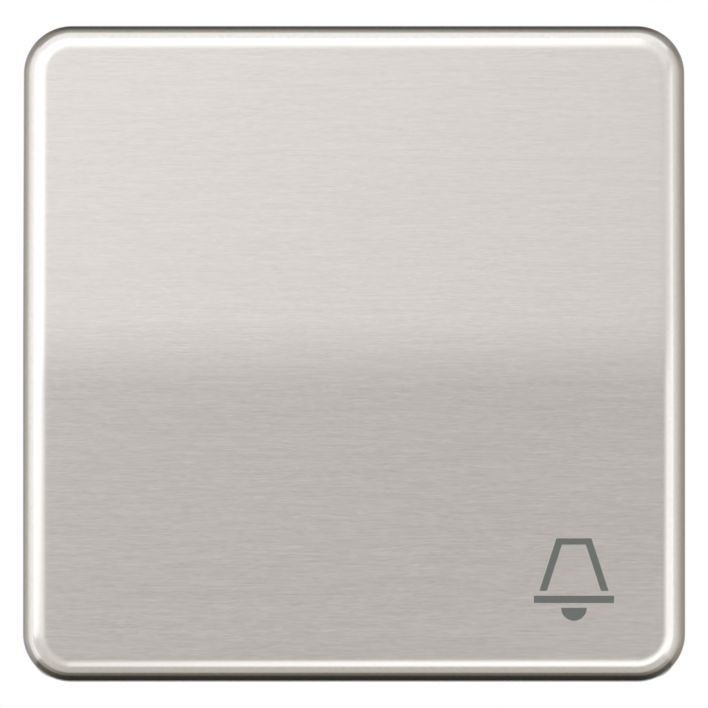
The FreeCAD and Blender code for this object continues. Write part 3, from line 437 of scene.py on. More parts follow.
@dataclass(frozen=True)
class WorkedMetal(Surface):
    """Rolled or drawn metal: plated sheet, spring strip, brass strip or wire.

    Long faint lines run the way the metal went through the rolls, and the tone drifts
    a little from place to place where the plating or the oxide is thicker.
    """

    rougher: float = 0.06
    lines: tuple[float, float, float] = (12 * MM, 12 * MM, 0.25 * MM)
    clouds: float = 5 * MM
    relief: float = 0.0006 * MM

    def make(self) -> bpy.types.Material:
        """Build the material."""
        material, tree, shader = new_material(self.name)
        clouds = pattern(tree, (self.clouds, self.clouds, self.clouds), 4.0, 0.6)
        lines = pattern(tree, self.lines, 2.0)
        self.coat(tree, shader, clouds, lines)
        self.emboss(tree, shader, lines, self.relief)
        shader.inputs[Socket.METAL.value].default_value = 1.0
        return material


class Finish(Enum):
    """Every finish of the button, each named for its material and how it was made."""

    CAP_FACE = BrushedSteel()
    CAP_RIM = PolishedSteel()
    SYMBOL = PrintInk()
    CARRIER = MouldedPlastic("PolycarbonateMouldedGrey", "#CBCBC8", "#D3D3D0", 0.42)
    CRADLE = MouldedPlastic("AcetalMouldedNatural", "#DEDDD7", "#E6E5E0", 0.36, ior=1.48)
    BEARING_FRAME = MouldedPlastic("PolyamideMouldedDark", "#3A3D40", "#44474B", 0.46)
    HOUSING = MouldedPlastic("PolyamideMouldedLight", "#DADAD5", "#E3E3DF", 0.44)
    COVER = MouldedPlastic("PolyamideMouldedBlack", "#303336", "#3A3D40", 0.4)
    PLUNGER = MouldedPlastic("AcetalMouldedWhite", "#E6E5DF", "#EEEDE8", 0.34, ior=1.48)
    LEVER = MouldedPlastic("PolyesterMouldedOrange", "#C9491F", "#D65527", 0.38)
    PLATE = WorkedMetal("SteelSheetZincPlated", "#B0B5BA", "#C4C9CD", 0.38)
    SPRING_WIRE = WorkedMetal("SpringSteelDrawn", "#B4B4B2", "#C6C6C4", 0.25)
    SPRING_STRIP = WorkedMetal("SpringSteelRolled", "#B9B7B3", "#C8C6C2", 0.3)
    BRASS_STRIP = WorkedMetal("BrassStripStamped", "#C69A52", "#D8AF68", 0.28)
    CONTACT = WorkedMetal("SilverContactPressed", "#D9D8D5", "#E8E7E4", 0.22)

    def material(self) -> bpy.types.Material:
        """The finish's material, built when it is first asked for."""
        return bpy.data.materials.get(self.value.name) or self.value.make()


# Meshes


def read(items: bpy.types.bpy_prop_collection, key: str, width: int, kind: type) -> np.ndarray:
    """Read one property of a mesh's points or corners.

    Args:
        items: The points or corners.
        key: The property's name.
        width: How many numbers it has.
        kind: The numbers' type.

    Returns:
        The numbers, a row for each point or corner.
    """
    values = np.empty(len(items) * width, kind)
    items.foreach_get(key, values)
    return values.reshape(-1, width)


def add_object(name: str, data: bpy.types.ID) -> bpy.types.Object:
    """Make an object of a mesh, a lamp or a camera, and link it to the scene.

    Args:
        name: The object's name.
        data: What it shows.

    Returns:
        The new object.
    """
    made = bpy.data.objects.new(name, data)
    bpy.context.scene.collection.objects.link(made)
    return made


@dataclass
class Skin:
    """Grids of points that are put together into one mesh."""

    points: list[np.ndarray] = field(default_factory=list)
    faces: list[np.ndarray] = field(default_factory=list)
    finishes: list[np.ndarray] = field(default_factory=list)
    count: int = 0

    def add(self, grid: np.ndarray, around: bool = False, finish: int | np.ndarray = 0) -> None:
        """Add the quads of a grid.

        The face in row k and column j joins the points (k, j), (k, j+1), (k+1, j+1) and
        (k+1, j), with the columns wrapping where the grid is closed.

        Args:
            grid: Points in rows and columns, an array of shape (rows, columns, 3).
            around: Whether the last column meets the first.
            finish: Material number, one for all or one for each row of faces.
        """
        rows, columns = grid.shape[:2]
        k = np.arange(rows - 1)[:, None]
        j = np.arange(columns if around else columns - 1)[None, :]
        below, right = k + 1, (j + 1) % columns
        quads = np.stack(
            [k * columns + j, k * columns + right, below * columns + right, below * columns + j],
            axis=-1,
        )
        numbers = np.broadcast_to(np.asarray(finish).reshape(-1, 1), quads.shape[:2])
        self.points.append(grid.reshape(-1, 3))
        self.faces.append(quads.reshape(-1, 4) + self.count)
        self.finishes.append(numbers.reshape(-1))
        self.count += rows * columns

    def mesh(self, name: str) -> bpy.types.Mesh:
        """Put the grids into one mesh, just as they are.

        Args:
            name: The mesh's name.

        Returns:
            The new mesh.
        """
        mesh = bpy.data.meshes.new(name)
        mesh.from_pydata(np.concatenate(self.points), [], np.concatenate(self.faces).tolist())
        numbers = np.concatenate(self.finishes).astype(np.int32)
        mesh.polygons.foreach_set("material_index", numbers)
        return mesh

    def build(self, name: str, finishes: list[Finish]) -> bpy.types.Object:
        """Make the object, with its seams and poles closed and its faces turned outwards.

        Args:
            name: The piece's name.
            finishes: The finishes that the material numbers stand for.

        Returns:
            The new object.
        """
        mesh = self.mesh(name)
        form = bmesh.new()
        form.from_mesh(mesh)
        bmesh.ops.remove_doubles(form, verts=form.verts, dist=WELD)
        bmesh.ops.dissolve_degenerate(form, edges=form.edges, dist=SLIVER)
        bmesh.ops.recalc_face_normals(form, faces=form.faces)
        form.to_mesh(mesh)
        form.free()
        return finish_object(name, mesh, finishes, CREASE)


def finish_object(
    name: str, mesh: bpy.types.Mesh, finishes: list[Finish], sharp: float
) -> bpy.types.Object:
    """Put a mesh into the scene, smooth it and give it its finishes.

    Args:
        name: The piece's name.
        mesh: Its mesh.
        finishes: Its finishes, in the order of the material numbers.
        sharp: The angle in degrees from which an edge stays crisp.

    Returns:
        The new object.
    """
    mesh.shade_smooth()
    mesh.set_sharp_from_angle(angle=math.radians(sharp))
    for finish in finishes:
        mesh.materials.append(finish.material())
    return add_object(name, mesh)


def rounded_loop(
    half_width: float, half_height: float, radius: float, corner_steps: int, side_steps: int
) -> tuple[np.ndarray, np.ndarray]:
    """Walk counterclockwise round a rectangle with round corners.

    Each corner is its centre plus the radius times the direction (cosine, sine) of a turn
    that goes on by a quarter from corner to corner; straight sides join the corners.

    Args:
        half_width: Half of its width.
        half_height: Half of its height.
        radius: Its corners' radius.
        corner_steps: Steps in a corner.
        side_steps: Steps along a side.

    Returns:
        The points and their outward directions, both as (x, z) in rows.
    """
    quarter = np.arange(4)[:, None] * math.pi / 2
    turn = quarter + np.linspace(0, math.pi / 2, corner_steps + 1)[None, :]
    out = np.stack([np.cos(turn), np.sin(turn)], axis=-1)
    centre = np.array([[1, 1], [-1, 1], [-1, -1], [1, -1]])
    centre = centre * np.array([half_width - radius, half_height - radius])
    corners = centre[:, None, :] + radius * out
    start, end = corners[:, -1:], np.roll(corners[:, :1], -1, axis=0)
    share = np.linspace(0, 1, side_steps + 1)[1:-1][None, :, None]
    sides = start + (end - start) * share
    side_out = np.repeat(out[:, -1:], side_steps - 1, axis=1)
    points = np.concatenate([corners, sides], axis=1).reshape(-1, 2)
    return points, np.concatenate([out, side_out], axis=1).reshape(-1, 2)


def tube(path: np.ndarray, radius: float | np.ndarray, sides: int) -> np.ndarray:
    """Carry a circle along a path.

    At each point the circle lies across the path, between the path's own sideways
    direction (away from the mean point of the path's axis) and the one square to it.

    Args:
        path: Points of the centre line in rows.
        radius: The circle's radius, one for all points or one for each.
        sides: Points round the circle.

    Returns:
        A grid of shape (points, sides, 3).
    """
    along = np.gradient(path, axis=0)
    along /= np.linalg.norm(along, axis=1, keepdims=True)
    side = path - path.mean(axis=0)
    side -= (side * along).sum(axis=1, keepdims=True) * along
    side /= np.linalg.norm(side, axis=1, keepdims=True)
    up = np.cross(along, side)
    turn = np.linspace(0, 2 * math.pi, sides, endpoint=False)[None, :, None]
    reach = np.broadcast_to(np.asarray(radius).reshape(-1, 1, 1), (len(path), 1, 1))
    return path[:, None] + reach * (np.cos(turn) * side[:, None] + np.sin(turn) * up[:, None])


def merged_copy(node: str, finish: Finish, edge: float) -> bpy.types.Object:
    """Copy a CAD node, join its loose triangles and soften its edges.

    Args:
        node: The CAD node that the copy stands for.
        finish: Its finish.
        edge: The width of the small round on its edges.

    Returns:
        The new object.
    """
    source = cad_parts[node].data
    near = np.round(read(source.vertices, "co", 3, float) / WELD).astype(np.int64)
    points, numbers = np.unique(near, axis=0, return_inverse=True)
    faces = numbers.reshape(-1)[read(source.loops, "vertex_index", 1, np.int32)].reshape(-1, 3)
    mesh = bpy.data.meshes.new(f"{node}_moulded")
    mesh.from_pydata(points * WELD, [], faces.tolist())
    form = bmesh.new()
    form.from_mesh(mesh)
    bmesh.ops.dissolve_degenerate(form, edges=form.edges, dist=SLIVER)
    flat = math.radians(FLAT)
    bmesh.ops.dissolve_limit(form, angle_limit=flat, verts=form.verts, edges=form.edges)
    form.to_mesh(mesh)
    form.free()
    made = finish_object(mesh.name, mesh, [finish], MOULDING_CREASE)
    bevel = made.modifiers.new("soft_edges", "BEVEL")
    bevel.width = edge
    bevel.segments = 2
    bevel.limit_method = "ANGLE"
    bevel.angle_limit = math.radians(MOULDING_CREASE)
    bevel.harden_normals = True
    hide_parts(node)
    return made


def report(piece: bpy.types.Object) -> None:
    """Log a piece's name and how many faces its mesh has."""
    LOG.info("%s: %d faces", piece.name, len(piece.data.polygons))


# The button


@dataclass(frozen=True)
class Roof:
    """The cap's front: two planes that fall away from a level ridge, joined by an arc."""

    ridge: float = 11.0 * MM
    slope: float = math.radians(2.0)
    blend: float = 100.0 * MM

    def level(self, z: np.ndarray, inset: np.ndarray) -> np.ndarray:
        """Work out the surface's level.

        Away from the ridge it is the ridge's level less the height times the slope's
        tangent. Near the ridge it lies on a circle that touches both planes.

        Args:
            z: Heights.
            inset: How far below the outer surface it lies, measured square to it.

        Returns:
            The levels.
        """
        ridge = self.ridge - inset / math.cos(self.slope)
        radius = self.blend - inset
        plane = ridge - np.abs(z) * math.tan(self.slope)
        arc = ridge - radius / math.cos(self.slope) + np.sqrt(np.maximum(radius**2 - z**2, 0))
        return np.where(np.abs(z) < radius * math.sin(self.slope), arc, plane)


@dataclass(frozen=True)
class RockerCap:
    """The pressed cap with its crimped tabs."""

    half_width: float = 33.0 * MM
    half_height: float = 32.75 * MM
    corner: float = 4.8 * MM
    rim: float = 2.0 * MM
    shoulder: float = 2.5 * MM
    ease: float = 1.3
    brushed_to: float = 1.85 * MM
    sheet: float = 0.6 * MM
    rear: float = 3.8 * MM
    edge: float = 0.1 * MM
    tab_length: float = 8.0 * MM
    tab_reach: float = 1.5 * MM
    tab_offset: float = 17.0 * MM
    # How squarely a tab fills its section across and upwards, the share of its height that
    # is square, and the share of its depth that is left at its ends.
    tab_square: tuple[float, float] = (9.0, 4.0)
    tab_flat: float = 0.7
    tab_end: float = 0.75
    # Rows of points on the outer and the inner side of the sheet, and how much closer
    # together they lie towards the rim of the face.
    face_rows: tuple[int, int] = (56, 12)
    rim_rows: tuple[int, int] = (49, 9)
    wall_rows: int = 9
    crowding: float = 1.15
    roof: Roof = Roof()

    def outline(self) -> tuple[np.ndarray, np.ndarray]:
        """The cap's outline and its outward directions, the same points in every row."""
        return rounded_loop(self.half_width, self.half_height, self.corner, 20, 56)

    def rows(self, inner: bool) -> np.ndarray:
        """List the rows of one side of the sheet, from the middle of its face to its rear edge.

        Each row holds the inset from the outline, the scale about the middle, the drop
        below the roof, the share of the roof's level in the row's level, and the material
        number. Outside, the rim starts with a soft shoulder: the sine of its tilt is the
        share of the way to the outline, raised to a power. The drop adds up the tangent of
        the tilt. Inside, the rim is a plain arc.

        Args:
            inner: Whether it is the side that faces the wall.

        Returns:
            The rows as an array of shape (rows, 5).
        """
        start = self.sheet if inner else 0.0
        reach = self.rim - start if inner else self.shoulder
        tilt = np.linspace(0, math.pi / 2, self.rim_rows[inner])
        if inner:
            inset, drop = start + reach * (1 - np.sin(tilt)), reach * (1 - np.cos(tilt))
        else:
            inset = reach * (1 - np.sin(tilt) ** (1 / self.ease))
            middle = np.tan((tilt[1:] + tilt[:-1]) / 2)
            drop = np.concatenate([[0.0], np.cumsum(middle * -np.diff(inset))])
        scale = 1 - np.linspace(1, 0, self.face_rows[inner]) ** self.crowding
        one, nought = np.ones_like(scale), np.zeros_like(scale)
        face = np.stack([one * inset[0], scale, nought, one, one if inner else nought], 1)
        polished = (inset < self.brushed_to) | inner
        one = np.ones_like(tilt)
        rim = np.stack([inset, one, drop, one, polished], 1)[1:]
        share = np.linspace(1, 0, self.wall_rows)[1:]
        one = np.ones_like(share)
        wall = np.stack([start * one, one, drop[-1] * one, share, one], 1)
        return np.concatenate([face, rim, wall])

    def side(self, inner: bool) -> np.ndarray:
        """Work out the grid of one side of the sheet.

        A point is the outline's point moved in by the inset and drawn to the middle by the
        scale. Its level is the roof's level less the drop, times the row's share, plus the
        rear edge's level times the rest.

        Args:
            inner: Whether it is the side that faces the wall.

        Returns:
            The grid of shape (rows, points, 3).
        """
        loop, out = self.outline()
        inset, scale, drop, share, _ = (v[:, None] for v in self.rows(inner).T)
        place = (loop[None] - inset[..., None] * out[None]) * scale[..., None]
        x, z = place[..., 0], place[..., 1]
        roof = self.roof.level(z, self.sheet if inner else 0.0)
        level = share * (roof - drop) + (1 - share) * (self.rear + self.edge)
        return np.stack([x, -level, z], axis=-1)

    def rear_edge(self) -> np.ndarray:
        """Work out the rounded rear edge that joins both sides of the sheet.

        It turns a quarter round each arris: inset and level follow the cosine and sine of
        the turn about a centre one edge radius in.

        Returns:
            The grid of shape (rows, points, 3).
        """
        loop, out = self.outline()
        turn = np.linspace(0, math.pi / 2, 5)
        outer = np.stack([self.edge * (1 - np.cos(turn)), self.edge * (1 - np.sin(turn))], 1)
        inner = outer[::-1] * np.array([-1, 1]) + np.array([self.sheet, 0])
        inset, rise = np.concatenate([outer, inner]).T
        place = loop[None] - inset[:, None, None] * out[None]
        level = np.broadcast_to((self.rear + rise)[:, None], place.shape[:2])
        return np.stack([place[..., 0], -level, place[..., 1]], axis=-1)

    def tab(self) -> np.ndarray:
        """Work out one crimped tab at the middle of the right wall.

        Its section is a bar with round long edges; along the tab the section shrinks near
        both ends by the square root of one less the square of the way past the last radius.

        Returns:
            The grid of shape (stations, section points, 3), with u pointing outwards.
        """
        half = self.sheet / 2
        turn = np.linspace(0, 2 * math.pi, 24, endpoint=False)
        depth = (self.sheet + self.tab_reach - half) / 2
        cosine, sine = np.cos(turn), np.sin(turn)
        square_cosine = np.clip(cosine * self.tab_square[0], -1, 1)
        square_sine = np.clip(sine * self.tab_square[1], -1, 1)
        across = square_cosine * (depth - half / 2) + cosine * half / 2
        rise = half * (square_sine * self.tab_flat + sine * (1 - self.tab_flat))
        way = np.sin(np.linspace(-math.pi / 2, math.pi / 2, 33)) * self.tab_length / 2
        past = np.maximum(np.abs(way) - (self.tab_length / 2 - half), 0)
        size = np.sqrt(np.maximum(1 - (past / half) ** 2, 0))[:, None]
        drawn = self.tab_end + (1 - self.tab_end) * size
        x = self.half_width - half - depth + across[None] * drawn
        level = self.rear + half + rise[None] * size
        z = np.broadcast_to(way[:, None], x.shape)
        return np.stack([x, -np.broadcast_to(level, x.shape), z], axis=-1)

    def tabs(self) -> list[np.ndarray]:
        """Place the eight tabs by turning the first one to each wall by cosine and sine.

        Returns:
            One grid for each tab.
        """
        base = self.tab()
        grids = []
        for c, s in ((1, 0), (0, 1), (-1, 0), (0, -1)):
            reach = self.half_width if c else self.half_height
            for offset in (-self.tab_offset, self.tab_offset):
                u = base[..., 0] - self.half_width + reach
                v = base[..., 2] + offset
                grids.append(np.stack([c * u - s * v, base[..., 1], s * u + c * v], axis=-1))
        return grids

    def build(self) -> bpy.types.Object:
        """Build the cap and dress it.

        Returns:
            The cap.
        """
        skin = Skin()
        skin.add(self.side(False), around=True, finish=self.rows(False)[1:, 4].astype(int))
        skin.add(self.side(True), around=True, finish=1)
        skin.add(self.rear_edge(), around=True, finish=1)
        for grid in self.tabs():
            skin.add(grid, around=True, finish=1)
        cap = skin.build("cap_shell", [Finish.CAP_FACE, Finish.CAP_RIM])
        self.add_brush_map(cap.data)
        self.add_smoothness(cap.data)
        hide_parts("button_cap")
        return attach(cap, Body.BUTTON.value)

    @staticmethod
    def add_brush_map(mesh: bpy.types.Mesh) -> None:
        """Lay a map on the cap whose first direction is square to the brush lines.

        It runs up the face, because a reflection in brushed metal is drawn out across the
        lines: u is the height and v the distance to the left, in shares of the map's size.

        Args:
            mesh: The cap's mesh.
        """
        size = 70 * MM
        corners = read(mesh.loops, "vertex_index", 1, np.int32)[:, 0]
        x, _, z = read(mesh.vertices, "co", 3, float)[corners].T
        brush = mesh.uv_layers.new(name="brush")
        brush.uv.foreach_set("vector", (np.stack([z, -x], 1) / size).ravel())

    def add_smoothness(self, mesh: bpy.types.Mesh) -> None:
        """Note at each point how far the brushing has faded.

        It is a smooth step of the inset from the outline, from nought where the shoulder
        starts to one where the polished rim does. The inset is the nearest side's, or in a
        corner the corner radius less the distance from the corner's centre.

        Args:
            mesh: The cap's mesh.
        """
        x, _, z = np.abs(read(mesh.vertices, "co", 3, float)).T
        past_x = x - (self.half_width - self.corner)
        past_z = z - (self.half_height - self.corner)
        round_corner = np.hypot(np.maximum(past_x, 0), np.maximum(past_z, 0))
        inset = self.corner - np.where(
            np.minimum(past_x, past_z) > 0, round_corner, np.maximum(past_x, past_z)
        )
        share = np.clip((self.shoulder - inset) / (self.shoulder - self.brushed_to), 0, 1)
        smoothness = mesh.attributes.new("smoothness", "FLOAT", "POINT")
        faded = share * share * (3 - 2 * share)
        smoothness.data.foreach_set("value", faded.astype(np.float32))


@dataclass(frozen=True)
class Coil:
    """A compression spring of round wire with closed ends."""

    name: str
    node: str
    slot: str
    joint: str
    body: Body
    radius: float
    wire: float
    turns: float
    floor: float
    top: float
    across: float
    height: float
    keep: float
    turn_steps: int = 48
    wire_points: int = 16
    # How many turns are closed at each end, and the share of the rise that is spread over
    # all turns, so that the closed ones aren't quite flat.
    closed: float = 0.5
    even: float = 0.14

    def path(self) -> np.ndarray:
        """Work out the wire's centre line.

        The wire goes round by a steady turn. It climbs evenly from floor to top, but hardly
        at all in the first and last half turns.

        Returns:
            Points in rows.
        """
        share = np.linspace(0, 1, int(self.turn_steps * self.turns) + 1)
        turn = 2 * math.pi * self.turns * share
        closed = self.closed / self.turns
        body = np.clip((share - closed) / (1 - 2 * closed), 0, 1)
        rise = (1 - self.even) * body + self.even * share
        start, end = self.floor - self.wire, self.top + self.wire
        y = start + (end - start) * rise
        x = self.across + self.radius * np.cos(turn)
        z = self.height + self.radius * np.sin(turn)
        return np.stack([x, y, z], axis=-1)

    def build(self) -> bpy.types.Object:
        """Build the spring, dress it and fix it to its body.

        The wire grows to its full radius within three steps of each end, by the square root
        of the share of the way.

        Returns:
            The spring.
        """
        path = self.path()
        step = np.arange(len(path))
        fade = np.sqrt(np.clip(np.minimum(step, step[::-1]) / 3, 0, 1))
        skin = Skin()
        skin.add(tube(path, self.wire * fade, self.wire_points), around=True)
        coil = skin.build(self.name, [Finish.SPRING_WIRE])
        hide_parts(self.node)
        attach(coil, self.body.value)
        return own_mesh(coil)


@dataclass(frozen=True)
class ClampSpring:
    """A hairpin strip that clamps a wire, with a tongue that its release lever bends away."""

    name: str
    side: int
    body: Body
    back: float = 9.5 * MM
    start: float = 18.0 * MM
    bend: float = 1.2 * MM
    bend_depth: float = 11.5 * MM
    tip: tuple[float, float] = (14.35 * MM, 16.6 * MM)
    sheet: float = 0.4 * MM
    width: float = 7.2 * MM
    height: float = -13.0 * MM
    edge: float = 0.06 * MM
    bends_to: float = 16.2 * MM
    arc_rows: int = 25
    leg_rows: int = 9
    # The share of its thickness and of its width that the strip has at both ends.
    end_size: tuple[float, float] = (0.6, 0.98)

    def path(self) -> np.ndarray:
        """Work out the strip's centre line, seen from above.

        It runs straight down the back leg to the bend, round the bend's centre by a steady
        turn, and leaves it on the straight line to the tip that touches the bend: there the
        turn is the tip's own direction less the angle whose cosine is the bend's radius over
        the tip's distance. The rows lie close together near both free ends.

        Returns:
            Points as (distance from the middle, depth into the wall) in rows.
        """
        top, tip = np.array([self.back, self.start]), np.array(self.tip)
        centre = np.array([self.back + self.bend, self.bend_depth])
        way = tip - centre
        touch = math.atan2(way[1], way[0]) - math.acos(self.bend / np.hypot(*way))
        turn = np.linspace(-math.pi, touch, self.arc_rows)
        arc = centre + self.bend * np.stack([np.cos(turn), np.sin(turn)], 1)
        close = np.array([0.0, self.edge, 2 * self.edge]) / self.start
        down = np.concatenate([close, np.linspace(0.1, 1, self.leg_rows)])[:-1, None]
        leg = top + down * (arc[0] - top)
        tongue = arc[-1] + (1 - down[::-1]) * (tip - arc[-1])
        return np.concatenate([leg, arc, tongue])

    def build(self) -> bpy.types.Object:
        """Build the strip.

        A rounded bar section is carried along the path, and drawn in to its middle at both
        ends.

        Returns:
            The spring.
        """
        path = self.path()
        along = np.gradient(path, axis=0)
        along /= np.linalg.norm(along, axis=1, keepdims=True)
        across = np.stack([along[:, 1], -along[:, 0]], 1)
        section, _ = rounded_loop(self.sheet / 2, self.width / 2, self.edge, 4, 10)
        size = np.ones((len(path), 2))
        size[[0, -1]] = self.end_size
        place = path[:, None] + across[:, None] * section[None, :, :1] * size[:, None, :1]
        z = self.height + section[None, :, 1] * size[:, 1:]
        grid = np.stack([self.side * place[..., 0], place[..., 1], z], -1)
        middle = np.stack([self.side * path[:, 0], path[:, 1], 0 * path[:, 0] + self.height], -1)
        first, last = (np.broadcast_to(middle[end], (1, grid.shape[1], 3)) for end in (0, -1))
        skin = Skin()
        skin.add(np.concatenate([first, grid, last]), around=True)
        spring = skin.build(f"clamp_strip_{self.name}", [Finish.SPRING_STRIP])
        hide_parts(f"clamp_spring_{self.name}")
        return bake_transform(spring)


@dataclass(frozen=True)
class Moulding:
    """A piece whose CAD form is right and gets soft edges and its finish."""

    node: str
    slot: str
    body: Body
    finish: Finish
    edge: float = 0.15 * MM

    def build(self) -> bpy.types.Object:
        """Build the piece.

        Returns:
            The dressed copy of the CAD node.
        """
        made = merged_copy(self.node, self.finish, self.edge)
        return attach(made, self.body.value)


@dataclass(frozen=True)
class KeptNode:
    """A CAD node that stays as it is and gets its finish."""

    node: str
    finish: Finish

    def build(self) -> bpy.types.Object:
        """Dress the node.

        Returns:
            The CAD node's object.
        """
        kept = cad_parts[self.node]
        for slot in kept.material_slots:
            slot.material = self.finish.material()
        return kept


@dataclass(frozen=True)
class Rocker:
    """What the finger moves: cap, print, carrier and cradle."""

    def build(self) -> list[bpy.types.Object]:
        """Build the sub-assembly's pieces."""
        return [
            RockerCap().build(),
            KeptNode("bell_symbol", Finish.SYMBOL).build(),
            Moulding("rocker_carrier", "carrier_plastic", Body.BUTTON, Finish.CARRIER).build(),
            Moulding("rocker_cradle", "cradle_plastic", Body.BUTTON, Finish.CRADLE).build(),
        ]


@dataclass(frozen=True)
class Insert:
    """What is screwed to the wall box: plate, bearing frame, housing and cover."""

    def build(self) -> list[bpy.types.Object]:
        """Build the sub-assembly's pieces."""
        body = Body.INSERT
        return [
            Moulding("support_plate", "plate_steel", body, Finish.PLATE, 0.12 * MM).build(),
            Moulding("bearing_frame", "frame_plastic", body, Finish.BEARING_FRAME).build(),
            Moulding("switch_housing", "housing_plastic", body, Finish.HOUSING, 0.25 * MM).build(),
            Moulding("terminal_cover", "cover_plastic", body, Finish.COVER, 0.2 * MM).build(),
            Coil(
                name="return_coil",
                node="return_spring",
                slot="spring_steel",
                joint="button_rock",
                body=body,
                radius=1.9 * MM,
                wire=0.25 * MM,
                turns=4.0,
                floor=3.92 * MM,
                top=-5.12 * MM,
                across=0.0,
                height=-6.0 * MM,
                keep=0.95,
            ).build(),
        ]


@dataclass(frozen=True)
class SwitchWorks:
    """The moving contact, the terminals and the levers that free the wires."""

    def build(self) -> list[bpy.types.Object]:
        """Build the sub-assembly's pieces."""
        pieces = [
            Moulding("plunger", "plunger_plastic", Body.PLUNGER, Finish.PLUNGER, 0.08 * MM).build(),
            KeptNode("contact_bridge", Finish.BRASS_STRIP).build(),
            KeptNode("bridge_contacts", Finish.CONTACT).build(),
            Coil(
                name="contact_coil",
                node="contact_spring",
                slot="spring_steel",
                joint="plunger_slide",
                body=Body.INSERT,
                radius=1.6 * MM,
                wire=0.2 * MM,
                turns=4.0,
                floor=9.92 * MM,
                top=4.88 * MM,
                across=0.0,
                height=-13.0 * MM,
                keep=0.82,
            ).build(),
        ]
        sides = (("left", -1, Body.RELEASE_LEFT), ("right", 1, Body.RELEASE_RIGHT))
        for name, side, body in sides:
            pieces.append(KeptNode(f"fixed_contact_{name}", Finish.CONTACT).build())
            pieces.append(KeptNode(f"busbar_{name}", Finish.BRASS_STRIP).build())
            pieces.append(ClampSpring(name, side, body).build())
            lever = Moulding(f"release_lever_{name}", "lever_plastic", body, Finish.LEVER)
            pieces.append(lever.build())
        return pieces


# The studio


@dataclass(frozen=True)
class SoftBox:
    """A lamp behind a diffuser, placed by the direction in which the button sees it.

    The tilt is measured from straight ahead of the button, and the compass from up
    towards the right. The brightness is that of its surface, where one is white.
    """

    name: str
    tilt: float
    compass: float
    width: float
    height: float
    brightness: float
    distance: float = 1.0

    def place(self) -> Vector:
        """The lamp's place on the sphere round the button."""
        tilt, compass = math.radians(self.tilt), math.radians(self.compass)
        sideways = math.sin(tilt) * math.sin(compass)
        upwards = math.sin(tilt) * math.cos(compass)
        return self.distance * Vector((sideways, -math.cos(tilt), upwards))

    def build(self) -> bpy.types.Object:
        """Build the lamp and aim it at the button.

        Returns:
            The lamp.
        """
        lamp = bpy.data.lights.new(self.name, "AREA")
        lamp.shape = "RECTANGLE"
        lamp.size, lamp.size_y = self.width, self.height
        lamp.energy = self.brightness * self.width * self.height * math.pi
        made = add_object(self.name, lamp)
        made.location = self.place()
        made.rotation_euler = (-self.place()).to_track_quat("-Z", "Y").to_euler()
        made.visible_camera = False
        return made


@dataclass(frozen=True)
class Tone:
    """A card's plain tone, which changes evenly up the card, from low to high.

    The glow is how bright the card is lit, where one shows its colours as written. The
    lean makes its left edge brighter and its right edge darker by that share. The fades
    are the shares of its width over which its ends go over to the tone beside it. Where a
    card has other colours at its right edge, they are the low and the high one there.
    """

    low: str
    high: str
    glow: float = 1.0
    lean: float = 0.0
    beside: str = ""
    fades: tuple[float, float] = (0.45, 0.45)
    right: tuple[str, str] | None = None

    @classmethod
    def lit(cls, glow: float, beside: str, fades: tuple[float, float]) -> "Tone":
        """A white tone that goes over to the one beside it."""
        return cls("#FFFFFF", "#FFFFFF", glow, 0.0, beside, fades)

    def make(self, name: str) -> bpy.types.Material:
        """Build the tone's material.

        Args:
            name: The card's name.

        Returns:
            The material.
        """
        material, tree = blank_material(f"{name}_tone")
        place = add_node(tree, "ShaderNodeUVMap", {"uv_map": "card"})
        split = add_node(tree, "ShaderNodeSeparateXYZ", links={0: place.outputs[0]})
        edges = []
        for low, high in ((self.low, self.high), self.right or (self.low, self.high)):
            ramp = add_node(tree, "ShaderNodeValToRGB", links={"Fac": split.outputs["Y"]})
            first, last = ramp.color_ramp.elements
            first.color, last.color = srgb(low), srgb(high)
            edges.append(ramp.outputs["Color"])
        colour = edges[0]
        if self.right:
            links = {0: split.outputs["X"], 6: edges[0], 7: edges[1]}
            colour = add_node(tree, "ShaderNodeMix", {"data_type": "RGBA"}, links).outputs[2]
        if self.beside:
            ends = add_node(tree, "ShaderNodeValToRGB", links={"Fac": split.outputs["X"]})
            ends.color_ramp.interpolation = "EASE"
            for element, share in zip(ends.color_ramp.elements, self.fades):
                element.color = (1, 1, 1, 1) if share else (0, 0, 0, 1)
            for position in (self.fades[0], 1 - self.fades[1]):
                ends.color_ramp.elements.new(position).color = (0, 0, 0, 1)
            settings = {"data_type": "RGBA", "in:7": srgb(self.beside)}
            links = {0: ends.outputs["Color"], 6: colour}
            colour = add_node(tree, "ShaderNodeMix", settings, links).outputs[2]
        settings = {
            "in:To Min": self.glow * (1 + self.lean),
            "in:To Max": self.glow * (1 - self.lean),
        }
        side = add_node(tree, "ShaderNodeMapRange", settings, {"Value": split.outputs["X"]})
        links = {"Color": colour, "Strength": side.outputs["Result"]}
        glow = add_node(tree, "ShaderNodeEmission", links=links)
        add_node(tree, "ShaderNodeOutputMaterial", links={"Surface": glow.outputs[0]})
        return material


